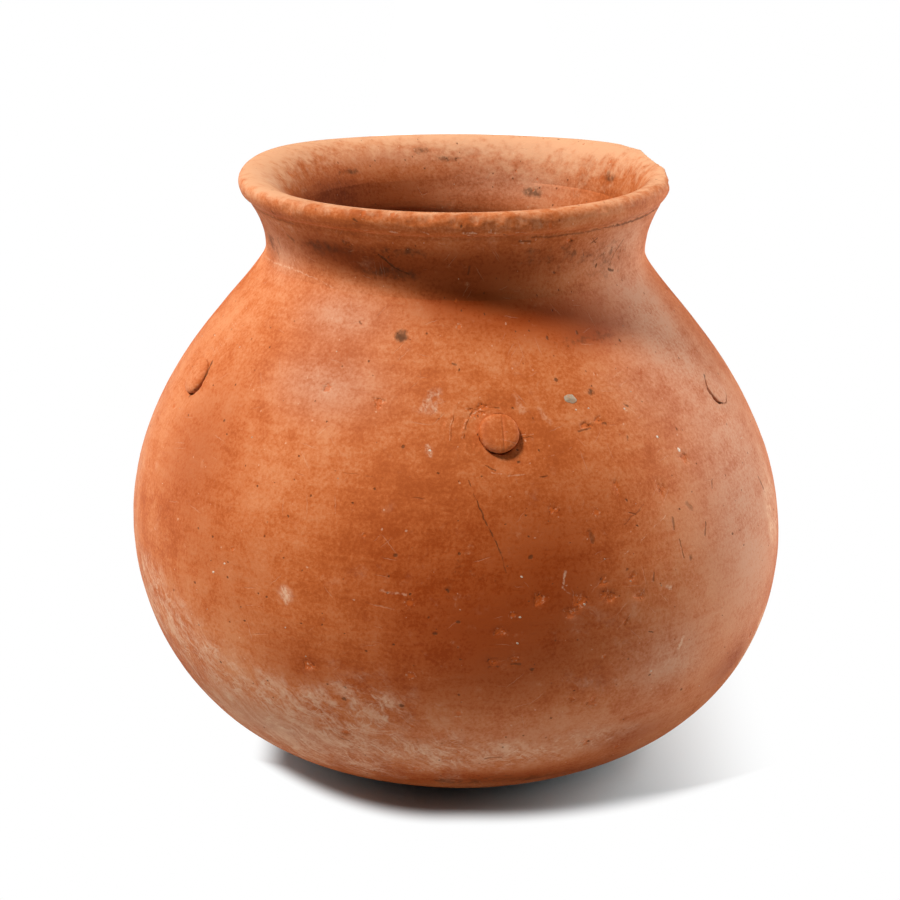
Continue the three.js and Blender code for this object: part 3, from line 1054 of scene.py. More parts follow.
shoulder_scores = [
    (2.1, 128.3, 3.4, 122.5, 0.2, 0.75),
    (3.4, 122.5, 4.4, 118, 0.24, 0.85),
    (4.4, 118, 7.1, 107.6, 0.24, 0.85),
    (7.1, 107.6, 8.0, 100, 0.15, 0.5),
    (29.4, 150.2, 29.4, 150.2, 1.5, 0.95),
    (69.2, 110.5, 70.4, 106.0, 0.5, 0.7),
    (-20.2, 127.9, -12.8, 127.8, 0.15, 0.25),
    (-8.0, 123, -5.4, 122.6, 0.2, 0.4),
    (39.7, 104.4, 40.2, 98.5, 0.3, 0.6),
    (39.2, 111.3, 39.0, 108.0, 0.6, 0.6),
    (46.8, 107.0, 46.1, 103.3, 0.35, 0.8),
    (22.5, 111.5, 22.7, 109.0, 1.1, 0.55),
    (43.2, 114.2, 44.0, 112.5, 1.0, 0.4),
    (30.3, 115.7, 31.4, 114.7, 0.3, 0.6),
    (51.8, 118.4, 51.0, 115.9, 0.3, 0.7),
    (24.0, 140.0, 26.6, 140.3, 0.5, 0.7),
    (29.6, 141.2, 30.4, 141.0, 0.5, 0.8),
    (34.3, 136.6, 34.2, 135.6, 0.5, 0.95),
    (32.6, 137.7, 32.6, 137.7, 0.4, 0.7),
    (36.3, 145.3, 37.0, 144.6, 0.4, 0.7),
    (47.1, 135.3, 47.1, 135.3, 0.6, 0.7),
    (29.0, 112.6, 33.5, 116.8, 0.25, 0.4),
    (6.5, 147.9, 8.7, 147.7, 0.25, 0.6),
    (12.0, 139.4, 14.8, 139.4, 0.15, 0.5),
    (5.3, 132.2, 6.9, 131.0, 0.35, 0.7),
    (14.8, 128.6, 16.1, 128.9, 0.3, 0.7),
    (-0.8, 159.5, 0.0, 159.0, 0.4, 0.7),
    (-25.4, 168.6, -24.6, 168.2, 0.4, 0.6),
    (-14.6, 166.2, -13.0, 165.2, 1.5, 0.6),
    (66.4, 145.0, 65.2, 141.5, 0.8, 0.9),
    (65.2, 141.5, 65.6, 137.6, 0.8, 0.9),
    (65.6, 137.6, 67.4, 135.6, 0.5, 0.8),
    # These three darken the gap beside the left stud, as painted shade in it
    (-65.6, 146.5, -64.6, 143.0, 0.7, 0.9),
    (-64.6, 143.0, -64.7, 138.0, 0.9, 0.95),
    (-64.7, 138.0, -66.6, 135.2, 0.8, 0.95),
    (2.4, 145.1, 1.8, 142.8, 0.15, 0.5),
    (1.8, 142.8, 1.6, 139.6, 0.15, 0.5),
    (-0.4, 145.6, -1.0, 142.7, 0.15, 0.45),
    (-1.0, 142.7, -1.1, 139.3, 0.15, 0.45),
]
shoulder_rubs = [
    (2.1, 145.1, 1.4, 142.8, 0.15, 0.5),
    (1.4, 142.8, 1.2, 139.6, 0.15, 0.5),
    (-0.7, 145.6, -1.3, 142.7, 0.15, 0.45),
    (-1.3, 142.7, -1.4, 139.3, 0.15, 0.45),
    (3.0, 146.2, 5.0, 147.6, 0.15, 0.5),
    (28.2, 103.8, 37.7, 112.7, 0.15, 0.6),
    (-6.2, 147.4, -5.2, 151.5, 1.5, 0.4),
    (-7.2, 146.5, -6.6, 149.0, 1.0, 0.4),
    (-5.6, 149.6, -5.0, 150.6, 0.5, 0.8),
    (-6.6, 147.8, -6.4, 148.6, 0.4, 0.8),
    (-4.2, 146.4, -4.0, 148.5, 0.8, 0.3),
    (-5.4, 137.6, -5.0, 135.0, 1.1, 0.55),
    (12.0, 140.2, 14.8, 140.3, 0.15, 0.4),
    (9.2, 129.2, 12.1, 129.7, 0.2, 0.35),
    (6.2, 130.6, 8.0, 130.0, 0.2, 0.4),
    (35.8, 144.0, 36.4, 143.6, 0.5, 0.7),
    (41.4, 134.8, 41.4, 134.8, 0.5, 0.7),
    (16.0, 133.5, 22.0, 136.0, 0.12, 0.3),
    (23.2, 138.4, 25.0, 136.0, 0.15, 0.3),
    (12.5, 150.0, 13.5, 147.0, 1.6, 0.25),
    (17.0, 146.5, 18.5, 143.5, 1.4, 0.25),
]
shoulder_clay = clay_material(
    "Wiped shoulder clay",
    body_tones,
    roughness=0.62,
    relief=0.55,
    scores=shoulder_scores,
    rubs=shoulder_rubs,
)

# Distances between the rows and between the turns of the mesh, which is finer beside the studs
stud_ring_radius = 0.09
stud_reach = 0.013
rows_reach = 0.015
row_spacing, stud_row_spacing = 0.0014, 0.00042
turn_spacing, stud_turn_spacing = 0.0019, 0.0006
flaked_middle = 10
flaked_reach = 40
flaked_turn_spacing, flaked_stud_turn_spacing = 0.0005, 0.00028


# Turns that are close together beside each stud and along the flaked front, and wider apart between them
def turns_near_studs():
    around = np.linspace(-math.pi, math.pi, 20001)
    in_front = np.abs(np.degrees(around) - flaked_middle) < flaked_reach
    spacing = np.where(in_front, flaked_turn_spacing, turn_spacing)
    for azimuth in stud_azimuths.values():
        beside = np.abs(within_half_turn(around - math.radians(azimuth))) * stud_ring_radius < stud_reach
        spacing[beside] = np.where(in_front[beside], flaked_stud_turn_spacing, stud_turn_spacing)
    along = around * stud_ring_radius
    return spaced(np.column_stack([along, np.zeros(len(around)), around]), spacing)[:, 2]


shoulder_rise = line_between(outside, belly_seam, neck_seam)[:, 1]
near_studs = np.abs(shoulder_rise - stud_height / 1000) < rows_reach
shoulder_rows = np.where(near_studs, stud_row_spacing, row_spacing)
shoulder_wall = turned_piece(
    "shoulder_wall_clay",
    course_section(belly_seam, neck_seam, shoulder_rows, inner_spacing=0.008),
    turns_near_studs(),
    shoulder_clay,
)

# Sizes of a socket and of the smeared clay round it, in millimetres
socket_radius = 6.5
socket_depth = 1.6
socket_bevel = 0.5
socket_tightness = 0.4
smear_reach = 30
finger_ring = 9.5
finger_half_width = 3.0
finger_depth = 0.16
ridge_half_width = 0.45

# The wall's level is taken on a ring round the stud, in millimetres. In the middle of the ring the round
# wall stands out further, by the sag in metres.
level_ring = (8.5, 11)
ring_sag = 0.00045

# Ridges of smeared clay: distance from the stud's middle and height in millimetres, then the middle and the
# half-spread in degrees
smear_ridges = [
    (11.6, 0.26, 162, 34),
    (13.4, 0.14, 172, 20),
    (15.4, 0.22, 168, 28),
    (17.4, 0.14, 170, 18),
    (9.2, 0.18, 208, 24),
    (9.0, 0.2, 122, 30),
    (10.4, 0.16, 88, 26),
    (12.8, 0.1, 15, 16),
    (11.5, 0.12, -75, 22),
]


# The socket, the finger-wide hollow round it and the ridges of clay that the finger pushed up, most at its
# left. The pellet shrank as it dried, so on one side the socket stands open by a gap. The result is the
# middle of the stud's place, level with the wall.
def press_socket(wall, azimuth, height, number, gap_side, gap):
    across, up_wall = wall.away_from(azimuth, height)
    distance = np.hypot(across, up_wall)
    around = np.arctan2(up_wall, across)
    near = (distance < smear_reach) & wall.on_outside
    beside = near & (distance > level_ring[0]) & (distance < level_ring[1])
    stud_middle = wall.points[beside].mean(axis=0) + wall.out[beside].mean(axis=0) * ring_sag
    opening = np.clip((np.cos(around - math.radians(gap_side)) - 0.55) / 0.45, 0, 1)
    loose = -socket_tightness + gap * opening**0.7
    loose += 0.12 * np.sin(7 * around + number) + 0.08 * np.sin(13 * around + 2 * number)
    wall_of_socket = np.clip((socket_radius + loose - distance) / socket_bevel, 0, 1)
    push = -socket_depth * wall_of_socket
    hollow = bell((distance - finger_ring) / finger_half_width)
    push -= finger_depth * hollow * (1 + 0.5 * np.sin(2 * around + number))
    for ring, ridge, middle, spread in smear_ridges:
        wander = ring + 0.8 * np.sin(2 * around + ring) + 0.45 * np.sin(7 * around + 3 * number)
        wander += 0.35 * np.sin(17 * around + ring) + 0.2 * np.sin(37 * around + 2 * ring)
        share = bell(within_half_turn(around - math.radians(middle)) / math.radians(spread))
        share *= 0.6 + 0.4 * np.sin(23 * around + 3 * ring)
        across_ridge = (distance - wander) / ridge_half_width
        push += ridge * share * bell(across_ridge)
        push -= 0.5 * ridge * share * bell(across_ridge - 1.8)
    wall.points += wall.out * (np.where(near, push, 0) / 1000)[:, None]
    return stud_middle


# The side of each socket that stands open, in degrees, and the width of the gap in millimetres
stud_gaps = [(185, 1.6), (40, 0.8), (200, 0.9), (-30, 1.2), (62, 1.1)]
wall = Wall(shoulder_wall)
stud_middles = []
for number, (azimuth, stud_gap) in enumerate(zip(stud_azimuths.values(), stud_gaps)):
    stud_middles.append(press_socket(wall, azimuth, stud_height, number, *stud_gap))
wall.keep()
shoulder_flakes = [
    (-15.9, 147.9, 1.6, 2.0, 0.3),
    (4.0, 146.6, 2.8, 1.6, 0.2),
    (5.4, 148.2, 2.0, 1.0, 0.2),
    (25.8, 141.4, 2.4, 1.1, 0.35),
    (29.0, 142.5, 1.4, 1.0, 0.25),
    (46.2, 127.3, 1.6, 1.8, 0.3),
    (29.0, 123.7, 1.2, 2.4, 0.3),
    (38.3, 120.4, 1.8, 2.2, 0.3),
    (-28.0, 150.0, 1.4, 1.6, 0.25),
    (16.5, 119.5, 1.6, 1.0, 0.25),
    (-120, 120, 2.2, 1.8, 0.4),
    (100, 130, 2.4, 1.8, 0.4),
    (180, 118, 2.0, 2.4, 0.4),
]
shoulder_course = finish_wall(shoulder_wall, shoulder_flakes, "shoulder_wall")

# Neck collar
# A waisted, flaring collar luted on the shoulder's edge. A pale line of slip still shows along the seam at
# the left. The hollow under the lip is painted darker as the lip's shadow, with smudges of soot along it.

# Tones for the neck and lip, darker than the body's, so that the painted shadow under the lip comes out deep
# and saturated
neck_and_lip_tones = (clay_pale, (0.44, 0.108, 0.026, 1), (0.20, 0.036, 0.005, 1))

neck_scores_and_shadow_line = [
    (-21.3, 191.0, -17.1, 186.8, 0.6, 0.9),
    (-17.1, 186.8, -13.1, 184.5, 0.3, 0.7),
    (49.8, 182.3, 52.5, 181.0, 0.6, 0.9),
    (54.4, 191.6, 49.9, 183.6, 0.35, 0.6),
    (39.6, 195.2, 41.4, 193.4, 0.35, 0.8),
    (41.4, 195.2, 39.6, 193.4, 0.35, 0.8),
    (28.6, 184.6, 29.2, 184.2, 0.5, 0.8),
    (-62.8, 188.0, -61.8, 184.8, 0.4, 0.7),
    (-54.2, 192.0, -51.6, 190.4, 0.9, 0.5),
    (3.8, 188.0, 3.6, 185.4, 0.5, 0.6),
    (16.6, 197.7, 19.8, 197.3, 0.5, 0.7),
    (-31.4, 195.0, -29.6, 194.2, 0.8, 0.6),
    (-66, 182.5, -64, 180.5, 0.5, 0.5),
    # The last three darken a shallow groove along the underside of the lip, as painted shadow of its lower
    # edge
    (20, 198.4, 46, 198.5, 0.4, 0.5),
    (46, 198.5, 74, 198.6, 0.5, 0.8),
    (-74, 198.5, -48, 198.4, 0.4, 0.4),
]
neck_rubs = [
    (-80, 177.2, -68, 178.0, 0.25, 0.3),
    (-68, 178.0, -56, 179.1, 0.25, 0.45),
    (-56, 179.1, -43, 178.2, 0.25, 0.4),
    (-43, 178.2, -31, 175.3, 0.2, 0.3),
    (17.0, 196.9, 19.8, 196.5, 0.4, 0.5),
]
neck_clay = clay_material(
    "Neck clay with painted shadow",
    neck_and_lip_tones,
    roughness=0.7,
    relief=0.65,
    scores=neck_scores_and_shadow_line,
    rubs=neck_rubs,
)
neck_collar = turned_piece(
    "neck_collar_clay",
    course_section(neck_seam, collar_top, 0.0009, 0.0011, top_drop=lip_scarf_drop),
    even_turns(spacing=0.0013),
    neck_clay,
)

rim_sag = 0.002
rim_corner = 114
rim_corner_spread = 32


# A straight share from nought to one, made to start and to end gently
def eased(share):
    return share * share * (3 - 2 * share)


# The rim sags a little between its two corners towards the back.
def settle_rim(wall):
    from_corner = (np.abs(np.degrees(wall.azimuth)) - rim_corner) / rim_corner_spread
    share = np.clip((wall.height - neck_height) / (crest_height - neck_height), 0, 1)
    wall.points[:, 2] -= rim_sag * eased(share) * (1 - bell(from_corner))


def from_crest(wall):
    return np.hypot(wall.radius - crest_radius, wall.height - crest_height)


rub_inwards = 0.011
rub_outwards = 0.0045
crest_flat = 0.0005


def facing(wall, azimuth):
    return np.clip(np.cos(wall.azimuth - math.radians(azimuth)), 0, 1)


# Hands have rubbed the crest of the mouth pale, most at the left and at the back right and least at the
# front. Where a chip has come off, its edge is a little pale too.
def rub_crest(wall, chipped=0.0):
    inwards = (wall.radius < crest_radius - crest_flat) | ~wall.on_outside
    at_left = facing(wall, -95) ** 2
    at_back_right = facing(wall, 148) ** 3
    at_front = facing(wall, 10) ** 2
    reach = np.where(inwards, rub_inwards + 0.007 * at_left + 0.014 * at_back_right, rub_outwards)
    strength = 0.78 + 0.1 * at_left + 0.15 * at_back_right - 0.35 * at_front
    rubbed = np.clip(1.15 - from_crest(wall) / reach, 0, 1) * strength
    write_numbers(wall.mesh, "rubbed", np.maximum(rubbed, chipped))


lip_swell = 0.0009
lip_crease = 0.0006
crease_reach = 0.0009


# The folded strip swells out over the collar and leaves a crease where its lower edge was pressed down.
def roll_lip(wall):
    seat_run = np.interp(collar_top, wall_height, wall_run)
    share = np.clip((wall.run - seat_run) / (wall_run[-1] - seat_run), 0, 1)
    swell = eased(np.clip(share / 0.3, 0, 1) * np.clip((0.95 - share) / 0.5, 0, 1))
    evenness = 0.8 + 0.2 * np.sin(3 * wall.azimuth + 1) + 0.15 * np.sin(8 * wall.azimuth)
    crease = bell((wall.run - seat_run) / crease_reach) * evenness
    push = np.where(wall.on_outside, lip_swell * swell * evenness - lip_crease * crease, 0)
    wall.points += wall.out * push[:, None]


wall = Wall(neck_collar)
settle_rim(wall)
rub_crest(wall)
roll_lip(wall)
wall.keep()
neck_flakes = [(32, 196, 2.0, 1.0, 0.3), (-30, 194, 1.5, 1.0, 0.3), (160, 192, 2.0, 1.4, 0.3)]
finish_wall(neck_collar, neck_flakes, "neck_collar")

# Rim lip
# A broad strip of clay folded on the collar's edge to stiffen the mouth. It is rubbed pale on top, nicked
# all along the front, and a piece has broken off at the right.

lip_scores = [
    (-55.0, 203.6, -54.2, 202.4, 0.35, 0.8),
    (-26.0, 205.6, -24.6, 205.0, 0.3, 0.7),
    (3.4, 202.2, 4.4, 202.0, 0.3, 0.8),
    (12.0, 202.6, 13.2, 202.2, 0.3, 0.7),
]
lip_rubs = [
    (1.8, 203.6, 5.4, 203.3, 0.4, 0.8),
    (3.0, 202.8, 4.6, 202.7, 0.3, 0.7),
    (-16.4, 202.9, -14.6, 202.7, 0.35, 0.7),
    (-8.6, 203.4, -6.6, 203.0, 0.3, 0.6),
    (8.2, 203.9, 10.0, 203.4, 0.3, 0.6),
    (15.0, 203.3, 18.0, 203.0, 0.3, 0.5),
]
lip_clay = clay_material(
    "Rubbed lip clay",
    neck_and_lip_tones,
    roughness=0.66,
    relief=0.65,
    scores=lip_scores,
    rubs=lip_rubs,
    soil_and_shade=0.8,
)

# The lip's inside turns down from the crest like a funnel and runs on along the collar's inside.
inner_height = collar_top - lip_scarf_drop
inner_end = line_between(inside, inner_height - 0.0005, inner_height)
inner_along = inner_end[-1, :2] - inner_end[0, :2]
inner_along /= np.linalg.norm(inner_along)
inner_edge = inner_end[-1, :2]
inside_crest = 0.007 * outwards
over_inner_edge = 0.008 * inner_along
lip_inside = bezier(crest, crest - inside_crest, inner_edge + over_inner_edge, inner_edge)
lip_inside = np.column_stack([lip_inside, np.linspace(0, 1, len(lip_inside))])
lip_over = np.vstack([np.column_stack([lip_outside, np.zeros(len(lip_outside))]), lip_inside[1:]])
lip_over = spaced(lip_over, spacing=0.0005)
lip_seat_line = np.linspace(lip_over[-1], lip_over[0], 6)[1:]
lip_section = np.vstack([lip_over, lip_seat_line])
rim_lip = turned_piece("rim_lip_clay", lip_section, even_turns(spacing=0.0009), lip_clay)

chip_middle = 1.5
chip_roughness = 0.00008
chip_paling = 4000
chip_rub = 0.3
chip_rawness = 0.1


# A chip: everything beyond a rough plane across the lip is broken away. Lengths are in millimetres, and the
# tip is how far the plane leans up, in degrees. The result is how freshly broken each point is.
def chip(wall, azimuth, half_length, depth, tip):
    turn = math.radians(azimuth)
    away = np.array([math.sin(turn), -math.cos(turn), 0.0])
    break_out = away * math.cos(math.radians(tip)) + np.array([0.0, 0.0, math.sin(math.radians(tip))])
    across, _ = wall.away_from(azimuth, crest_height * 1000)
    close = np.abs(across) < half_length
    depth_at = wall.points @ break_out
    near_side = (np.abs(across) < 4 * half_length) & (np.cos(wall.azimuth - turn) > 0)
    edge = np.max(depth_at[near_side & (np.abs(across) < chip_middle)]) - depth / 1000
    taper = np.clip(1 - (across / half_length) ** 2, 0, 1) ** 0.5
    rough = np.sin(2.1 * across + azimuth) + 0.7 * np.sin(4.7 * across + 2 * azimuth)
    rough += 0.8 * np.sin(wall.height * 2600 + 1.3 * across + azimuth)
    limit = edge + depth / 1000 * (1 - taper) + chip_roughness * rough
    over = np.where(close & near_side, np.clip(depth_at - limit, 0, None), 0)
    wall.points -= break_out * over[:, None]
    return np.clip(over * chip_paling, 0, 1)


wall = Wall(rim_lip)
settle_rim(wall)
roll_lip(wall)
broken = np.zeros(len(wall.run))
# Azimuth in degrees, half-length and depth in millimetres, and tip in degrees
lip_chips = [
    (100, 28, 3.0, 35),
    (86, 16, 1.8, 15),
    (118, 9, 1.2, 45),
    (-20, 2.6, 0.25, 30),
    (-9, 4.2, 0.4, 12),
    (-6, 2.2, 0.45, 35),
    (0, 3.0, 0.35, 5),
    (4.6, 2.2, 0.5, 25),
    (8.8, 3.2, 0.4, -5),
    (11, 1.6, 0.4, 35),
    (15, 4.4, 0.55, 8),
    (20, 2.6, 0.4, -10),
    (25, 2.0, 0.25, 25),
    (-47, 2.2, 0.4, 0),
    (40, 2.8, 0.3, 20),
    (160, 6, 0.7, 40),
    (-150, 5, 0.6, 30),
    (-110, 6, 0.5, 20),
]
for lip_chip in lip_chips:
    broken = np.maximum(broken, chip(wall, *lip_chip))
rub_crest(wall, chip_rub * broken)
wall.keep()
crest_run = wall_run[-1]
towards_mouth = np.where(wall.radius < crest_radius, 1, -1)
finish_wall(rim_lip, [], "rim_lip", crest_run + towards_mouth * from_crest(wall))
write_numbers(rim_lip.data, "raw", broken * chip_rawness)

# Studs
# Pellets of clay rolled between finger and thumb and pressed into the sockets. Each has a low domed face
# with a soft edge and leans a little. The front one cracked as it dried, and the right one is worn flush
# with the wall.

stud_radius = 0.0065
stud_seat = 0.0016
# Heights of the edge and of the face over the wall, for the worn studs and for a whole one
worn_studs = {"stud_right": (-0.0003, 0.0001), "stud_left": (-0.0002, 0.0012)}
whole_stud = (0.0010, 0.0026)
face_lean = -0.15
crack_offset = 0.0012
crack_slant = 0.13
crack_half_width = 0.0003
crack_depth = 0.0003
stud_clay = clay_material(
    "Pressed stud clay",
    (clay_pale, (0.44, 0.105, 0.024, 1), clay_deep),
    roughness=0.6,
    relief=0.5,
    # A short pale line on the front stud, a painted highlight along the ridge by its crack
    rubs=[(0.6, 0.0, 1.2, 0.0, 0.14, 0.5)],
    soil_and_shade=0.8,
)
still = {key: 0.0 for key in ("Off centre", "Lean", "Belly tilt", "Neck tilt")}
pellet_unevenness = still | {
    "Belly height": 1.0,
    "Neck height": 2.0,
    "Crest height": 3.0,
    "Waver": 0.0008,
    "Waver size": 0.006,
    "Ripple": 0.0,
}
stud_turns = np.linspace(-math.pi, math.pi, 97)

# A stud is as stained as the wall a few degrees beside it. The maps of the studs lie side by side, with the
# front one's at the origin, where its pale line of painted highlight is drawn.
degrees_beside = 6
map_step = 0.02
front_number = list(stud_azimuths).index("stud_front")

# A stud's side is steep at its edge and turns over into the low dome of its face.
for number, (node, azimuth) in enumerate(stud_azimuths.items()):
    edge_proud, proud = worn_studs.get(node, whole_stud)
    edge = np.array([stud_radius, edge_proud])
    foot = np.array([[0.0, -stud_seat], [stud_radius * 0.95, -stud_seat], edge])
    shoulder_of_head = np.array([0.82 * stud_radius, 0.97 * proud])
    flat_edge = np.array([0.35 * stud_radius, 0.99 * proud])
    steep = edge + 0.45 * (proud - edge_proud) * up
    head = np.vstack([bezier(edge, steep, shoulder_of_head, flat_edge), [[0.0, proud]]])
    profile = np.vstack([spaced(foot, spacing=0.0005), spaced(head, spacing=0.0003)[1:]])
    profile = np.column_stack([profile, np.zeros(len(profile))])
    pellet = turned_piece(
        node + "_pellet", profile, stud_turns, stud_clay, pellet_unevenness, sharp_angle=60
    )
    mesh = pellet.data
    beside = shoulder_course.nearest(azimuth - degrees_beside, stud_height)
    for stain_name in stains_and_painted_light:
        level = shoulder_course.mesh.attributes[stain_name].data[beside].value
        write_numbers(mesh, stain_name, np.full(len(mesh.vertices), level))
    points = read_vectors(mesh, "position")
    up_slope = -np.array([math.sin(math.radians(azimuth)), -math.cos(math.radians(azimuth))])
    lean = 1 + face_lean * (points[:, :2] @ up_slope) / stud_radius
    points[:, 2] = np.where(points[:, 2] > 0, points[:, 2] * lean, points[:, 2])
    if node == "stud_front":
        off_crack = (points[:, 0] - crack_offset + crack_slant * points[:, 1]) / crack_half_width
        points[:, 2] -= np.where(points[:, 2] > edge_proud, crack_depth * bell(off_crack), 0)
    write_points(mesh, points)
    write_map(mesh, points[corner_points(mesh), :2] + map_step * (number - front_number))
    out = Vector(shoulder_course.out[shoulder_course.nearest(azimuth, stud_height)])
    turn_out = Vector((0, 0, 1)).rotation_difference(out).to_matrix().to_4x4()
    mesh.transform(Matrix.Translation(Vector(stud_middles[number])) @ turn_out)
    stand_for(pellet, node)

# Temper grits
# Crushed stone and shell that the potter kneaded into the clay. Here and there a grain shows at the surface,
# flush with the wall, white or grey where it was rubbed clean.

# Places that are listed one by one: azimuth, height, half-length in millimetres, and paleness
shown_grits = [
    (24.0, 149.0, 2.5, 0.12),
    (45.3, 129.9, 0.9, 1.0),
    (33.4, 62.2, 0.6, 0.7),
    (9.5, 79.4, 0.5, 0.4),
    (9.8, 87.9, 0.5, 0.4),
    (10.1, 100.3, 0.5, 0.5),
    (20.5, 90.2, 0.5, 0.4),
    (24.7, 146.0, 0.4, 0.5),
    (27.7, 145.7, 0.4, 0.5),
    (35.8, 144.0, 0.5, 0.5),
    (41.4, 134.8, 0.6, 0.8),
    (-43.7, 88.1, 0.6, 0.6),
    (-41.1, 93.1, 0.5, 0.6),
    (-5.0, 136.3, 0.5, 0.7),
]
small_grits = 60
lowest_grit, highest_grit = 46, 168
scattered = np.random.default_rng(21)
for _ in range(small_grits):
    azimuth = scattered.uniform(-180, 180)
    height = scattered.uniform(lowest_grit, highest_grit)
    half_length = scattered.uniform(0.2, 0.4)
    paleness = scattered.uniform(0.0, 0.5)
    shown_grits.append((azimuth, height, half_length, paleness))


# Sets one low-faced grain on each given point, lying flat on the wall there
def make_grit_tree():
    tree, given, result = new_tree(
        "Temper grits",
        "GeometryNodeTree",
        {"Places": "Object", "Flatness": "Float", "Longness": "Float", "Seed": "Int", "Stone": "Material"},
        {"Piece": "Geometry"},
    )
    places = place(tree, "GeometryNodeObjectInfo", {"Object": given["Places"]}).outputs["Geometry"]
    grain = place(tree, "GeometryNodeMeshIcoSphere", {"Radius": 1.0, "Subdivisions": 2}).outputs["Mesh"]
    lumps = noise(tree, tree.nodes.new("GeometryNodeInputPosition").outputs[0], 1.1, 2.0)
    normal = tree.nodes.new("GeometryNodeInputNormal").outputs[0]
    push = scaled(tree, normal, centred(tree, lumps))
    grain = place(tree, "GeometryNodeSetPosition", {"Geometry": grain, "Offset": push}).outputs[0]

    def named(kind, name):
        node = place(tree, "GeometryNodeInputNamedAttribute", {"Name": name}, data_type=kind)
        return node.outputs["Attribute"]

    half_length = named("FLOAT", "half_length")
    half_width = times(tree, half_length, given["Longness"])
    size = combined(tree, half_length, half_width, times(tree, half_length, given["Flatness"]))
    inputs = {"Vector": named("FLOAT_VECTOR", "way_out")}
    turn = place(tree, "FunctionNodeAlignRotationToVector", inputs, axis="Z").outputs[0]
    inputs = {2: -0.5, 3: 0.5, "Seed": given["Seed"]}
    spin = place(tree, "FunctionNodeRandomValue", inputs, data_type="FLOAT").outputs[1]
    spin = combined(tree, 0.0, 0.0, spin)
    turn = place(tree, "FunctionNodeRotateRotation", {0: turn, 1: spin}, rotation_space="LOCAL").outputs[0]
    inputs = {"Points": places, "Instance": grain, "Rotation": turn, "Scale": size}
    grains = place(tree, "GeometryNodeInstanceOnPoints", inputs).outputs[0]
    real = place(tree, "GeometryNodeRealizeInstances", {"Geometry": grains}).outputs[0]
    clad = place(tree, "GeometryNodeSetMaterial", {"Geometry": real, "Material": given["Stone"]})
    tree.links.new(clad.outputs[0], result["Piece"])
    return tree


dull_stone = (0.28, 0.205, 0.13, 1)
clean_stone = (0.72, 0.58, 0.46, 1)
clay_on_stone = (0.42, 0.16, 0.06, 1)


def stone_material():
    material, tree = new_material("Temper stone")
    fine = noise(tree, object_point(tree), 0.0009, 4.0, 0.65)
    colour = mix_colour(tree, stain(tree, "paleness"), dull_stone, clean_stone)
    colour = mix_colour(tree, ramp(tree, fine, 0.5, 0.72), colour, clay_on_stone)
    rough = ramp(tree, fine, -0.6, 1.2)
    join_surface(tree, colour, rough, fine, relief=0.5, depth=0.0002, gloss=0.18)
    return material


sunk_share = 0.1
seated = []
for azimuth, height, half_length, paleness in shown_grits:
    course = shoulder_course if height > belly_seam * 1000 else belly_course
    closest = course.nearest(azimuth, height)
    point, way_out = course.points[closest], course.out[closest]
    sunk = point - way_out * half_length * (sunk_share / 1000)
    seated.append((sunk, way_out, half_length / 1000, paleness))
grit_places = row_of_points("grit_places", [tuple(point) for point, *_ in seated])
for name, kind, field, column in (
    ("way_out", "FLOAT_VECTOR", "vector", 1),
    ("half_length", "FLOAT", "value", 2),
    ("paleness", "FLOAT", "value", 3),
):
    layer = grit_places.data.attributes.new(name, kind, "POINT")
    layer.data.foreach_set(field, np.ravel([entry[column] for entry in seated]).astype(np.float32))
grit_values = {
    "Places": grit_places,
    "Flatness": 0.3,
    "Longness": 0.62,
    "Seed": 4,
    "Stone": stone_material(),
}
temper_grits = grown("temper_grits", make_grit_tree(), grit_values)
bpy.data.meshes.remove(grit_places.data)
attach(temper_grits, "root")

# Ground
# A plain white sheet of paper under the jar, laid flat. It keeps the jar's shadow close to the base, and is
# blown out to white at both sides and past a front edge that bends back towards them.

sheet_reach = 6.0
right_edge = (0.055, 0.115)
left_edge = (0.060, 0.074)
front_edge = (0.070, 0.084)
right_bend_start, right_bend = 0.010, 4.5
left_bend_start, left_bend = 0.005, 11.0
sheet_corners = [(-1, -1), (1, -1), (1, 1), (-1, 1)]
ground_mesh = bpy.data.meshes.new("ground")
ground_mesh.from_pydata(
    [(sheet_reach * side, sheet_reach * depth, 0) for side, depth in sheet_corners], [], [(0, 1, 2, 3)]
)
ground = add_object("ground", ground_mesh)

# The camera sees a cool white sheet with the shadow on it, and the jar is lit from below by a grey one.
paper, tree = new_material("White paper")
tree.nodes.remove(tree.nodes["Principled BSDF"])
shaded = place(tree, "ShaderNodeBsdfDiffuse", {"Color": (0.80, 0.95, 1.0, 1)})
white = place(tree, "ShaderNodeEmission", {"Color": (1.0, 1.0, 1.0, 1), "Strength": 1.0})
sideways, backwards, _ = place(tree, "ShaderNodeSeparateXYZ", {0: object_point(tree)}).outputs
leftwards = times(tree, sideways, -1.0)


def bend(distance, start, strength):
    past = greater(tree, calculate(tree, "SUBTRACT", distance, start), 0.0)
    return times(tree, calculate(tree, "POWER", past, 2.0), strength)


bent_right = bend(sideways, right_bend_start, right_bend)
bent_left = bend(leftwards, left_bend_start, left_bend)
forwards = calculate(tree, "SUBTRACT", calculate(tree, "ADD", bent_right, bent_left), backwards)
to_right = ramp(tree, sideways, *right_edge)
to_left = ramp(tree, leftwards, *left_edge)
to_front = ramp(tree, forwards, *front_edge)
blown_out = strongest(tree, [to_right, to_left, to_front])
seen = place(tree, "ShaderNodeMixShader", {0: blown_out, 1: shaded.outputs[0], 2: white.outputs[0]})
lighting = place(tree, "ShaderNodeBsdfDiffuse", {"Color": (0.55, 0.55, 0.55, 1)})
to_camera = tree.nodes.new("ShaderNodeLightPath").outputs["Is Camera Ray"]
sheet = place(tree, "ShaderNodeMixShader", {0: to_camera, 1: lighting.outputs[0], 2: seen.outputs[0]})
tree.links.new(sheet.outputs[0], tree.nodes["Material Output"].inputs["Surface"])
ground_mesh.materials.append(paper)

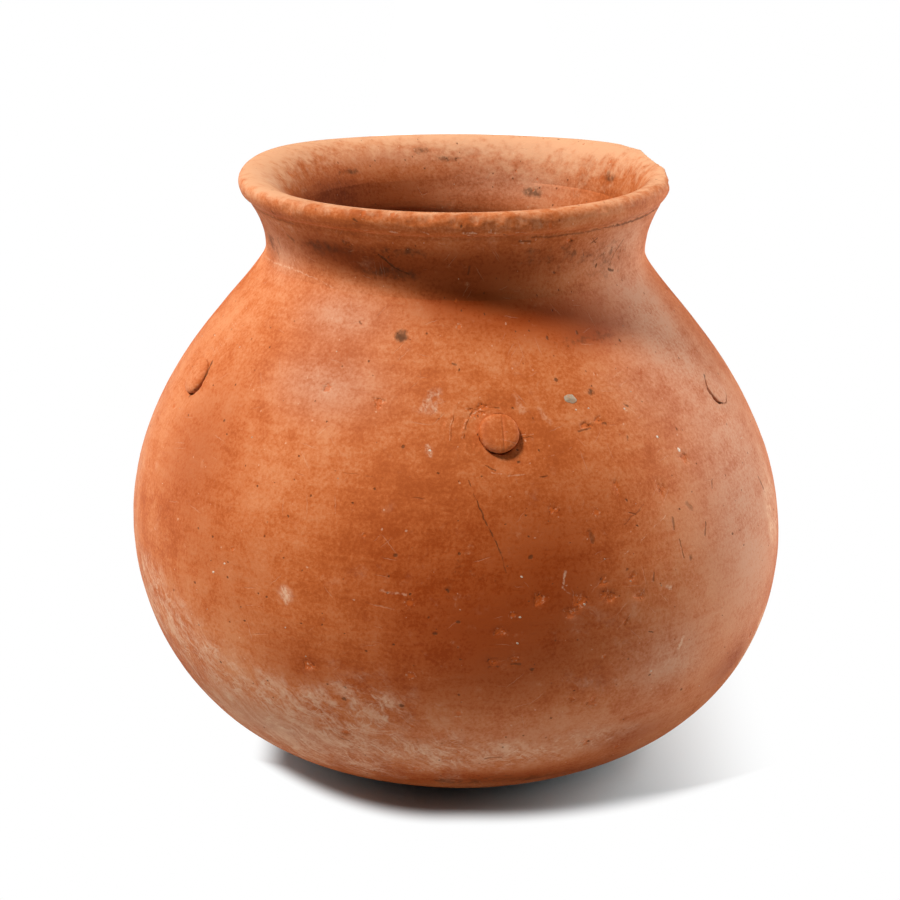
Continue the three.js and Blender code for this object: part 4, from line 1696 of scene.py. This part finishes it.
# Light
# One high soft lamp at the left front draws the lip's shadow across the neck. White panels stand at both
# sides, a little behind the jar, and the room itself is almost dark.

lit_middle = Vector((0.0, 0.0, 0.1))


def add_lamp(name, kind, energy, position, **options):
    lamp = bpy.data.lights.new(name, kind)
    lamp.energy = energy
    for option, value in options.items():
        setattr(lamp, option, value)
    light = add_object(name, lamp)
    light.location = position
    light.rotation_euler = (lit_middle - Vector(position)).to_track_quat("-Z", "Y").to_euler()


key_azimuth = math.radians(-64)
key_elevation = math.radians(62.5)
key_direction = Vector(
    (
        math.sin(key_azimuth) * math.cos(key_elevation),
        -math.cos(key_azimuth) * math.cos(key_elevation),
        math.sin(key_elevation),
    )
)
panel = {"shape": "RECTANGLE", "size": 0.4, "size_y": 0.8}
add_lamp("key", "SUN", 4.9, key_direction * 2, angle=math.radians(11))
add_lamp("right_panel", "AREA", 10.0, (0.85, 0.25, 0.35), **panel)
add_lamp("left_panel", "AREA", 3.5, (-0.8, 0.3, 0.4), **panel)

world = bpy.data.worlds.new("studio")
scene.world = world
world.use_nodes = True
tree = world.node_tree
room = tree.nodes["Background"]
room.inputs["Color"].default_value = (1, 1, 1, 1)
room.inputs["Strength"].default_value = 0.02
backdrop = place(tree, "ShaderNodeBackground", {"Color": (1, 1, 1, 1), "Strength": 1.0})
to_camera = tree.nodes.new("ShaderNodeLightPath").outputs["Is Camera Ray"]
sky = place(tree, "ShaderNodeMixShader", {0: to_camera, 1: room.outputs[0], 2: backdrop.outputs[0]})
tree.links.new(sky.outputs[0], tree.nodes["World Output"].inputs["Surface"])

# Camera
# The photograph looks down on the jar from about eighteen degrees, through a long lens at arm's length. It
# is centred a little left of the jar's middle.

view_elevation = math.radians(17.94)
view_distance = 0.8
view_height = 0.1052
view_side = -0.00286
lens = bpy.data.cameras.new("photograph")
lens.lens = 90.0
lens.sensor_width = 36.0
camera = add_object("photograph", lens)
camera.location = (
    view_side,
    -view_distance * math.cos(view_elevation),
    view_height + view_distance * math.sin(view_elevation),
)
camera.rotation_euler = (math.pi / 2 - view_elevation, 0, 0)
scene.camera = camera
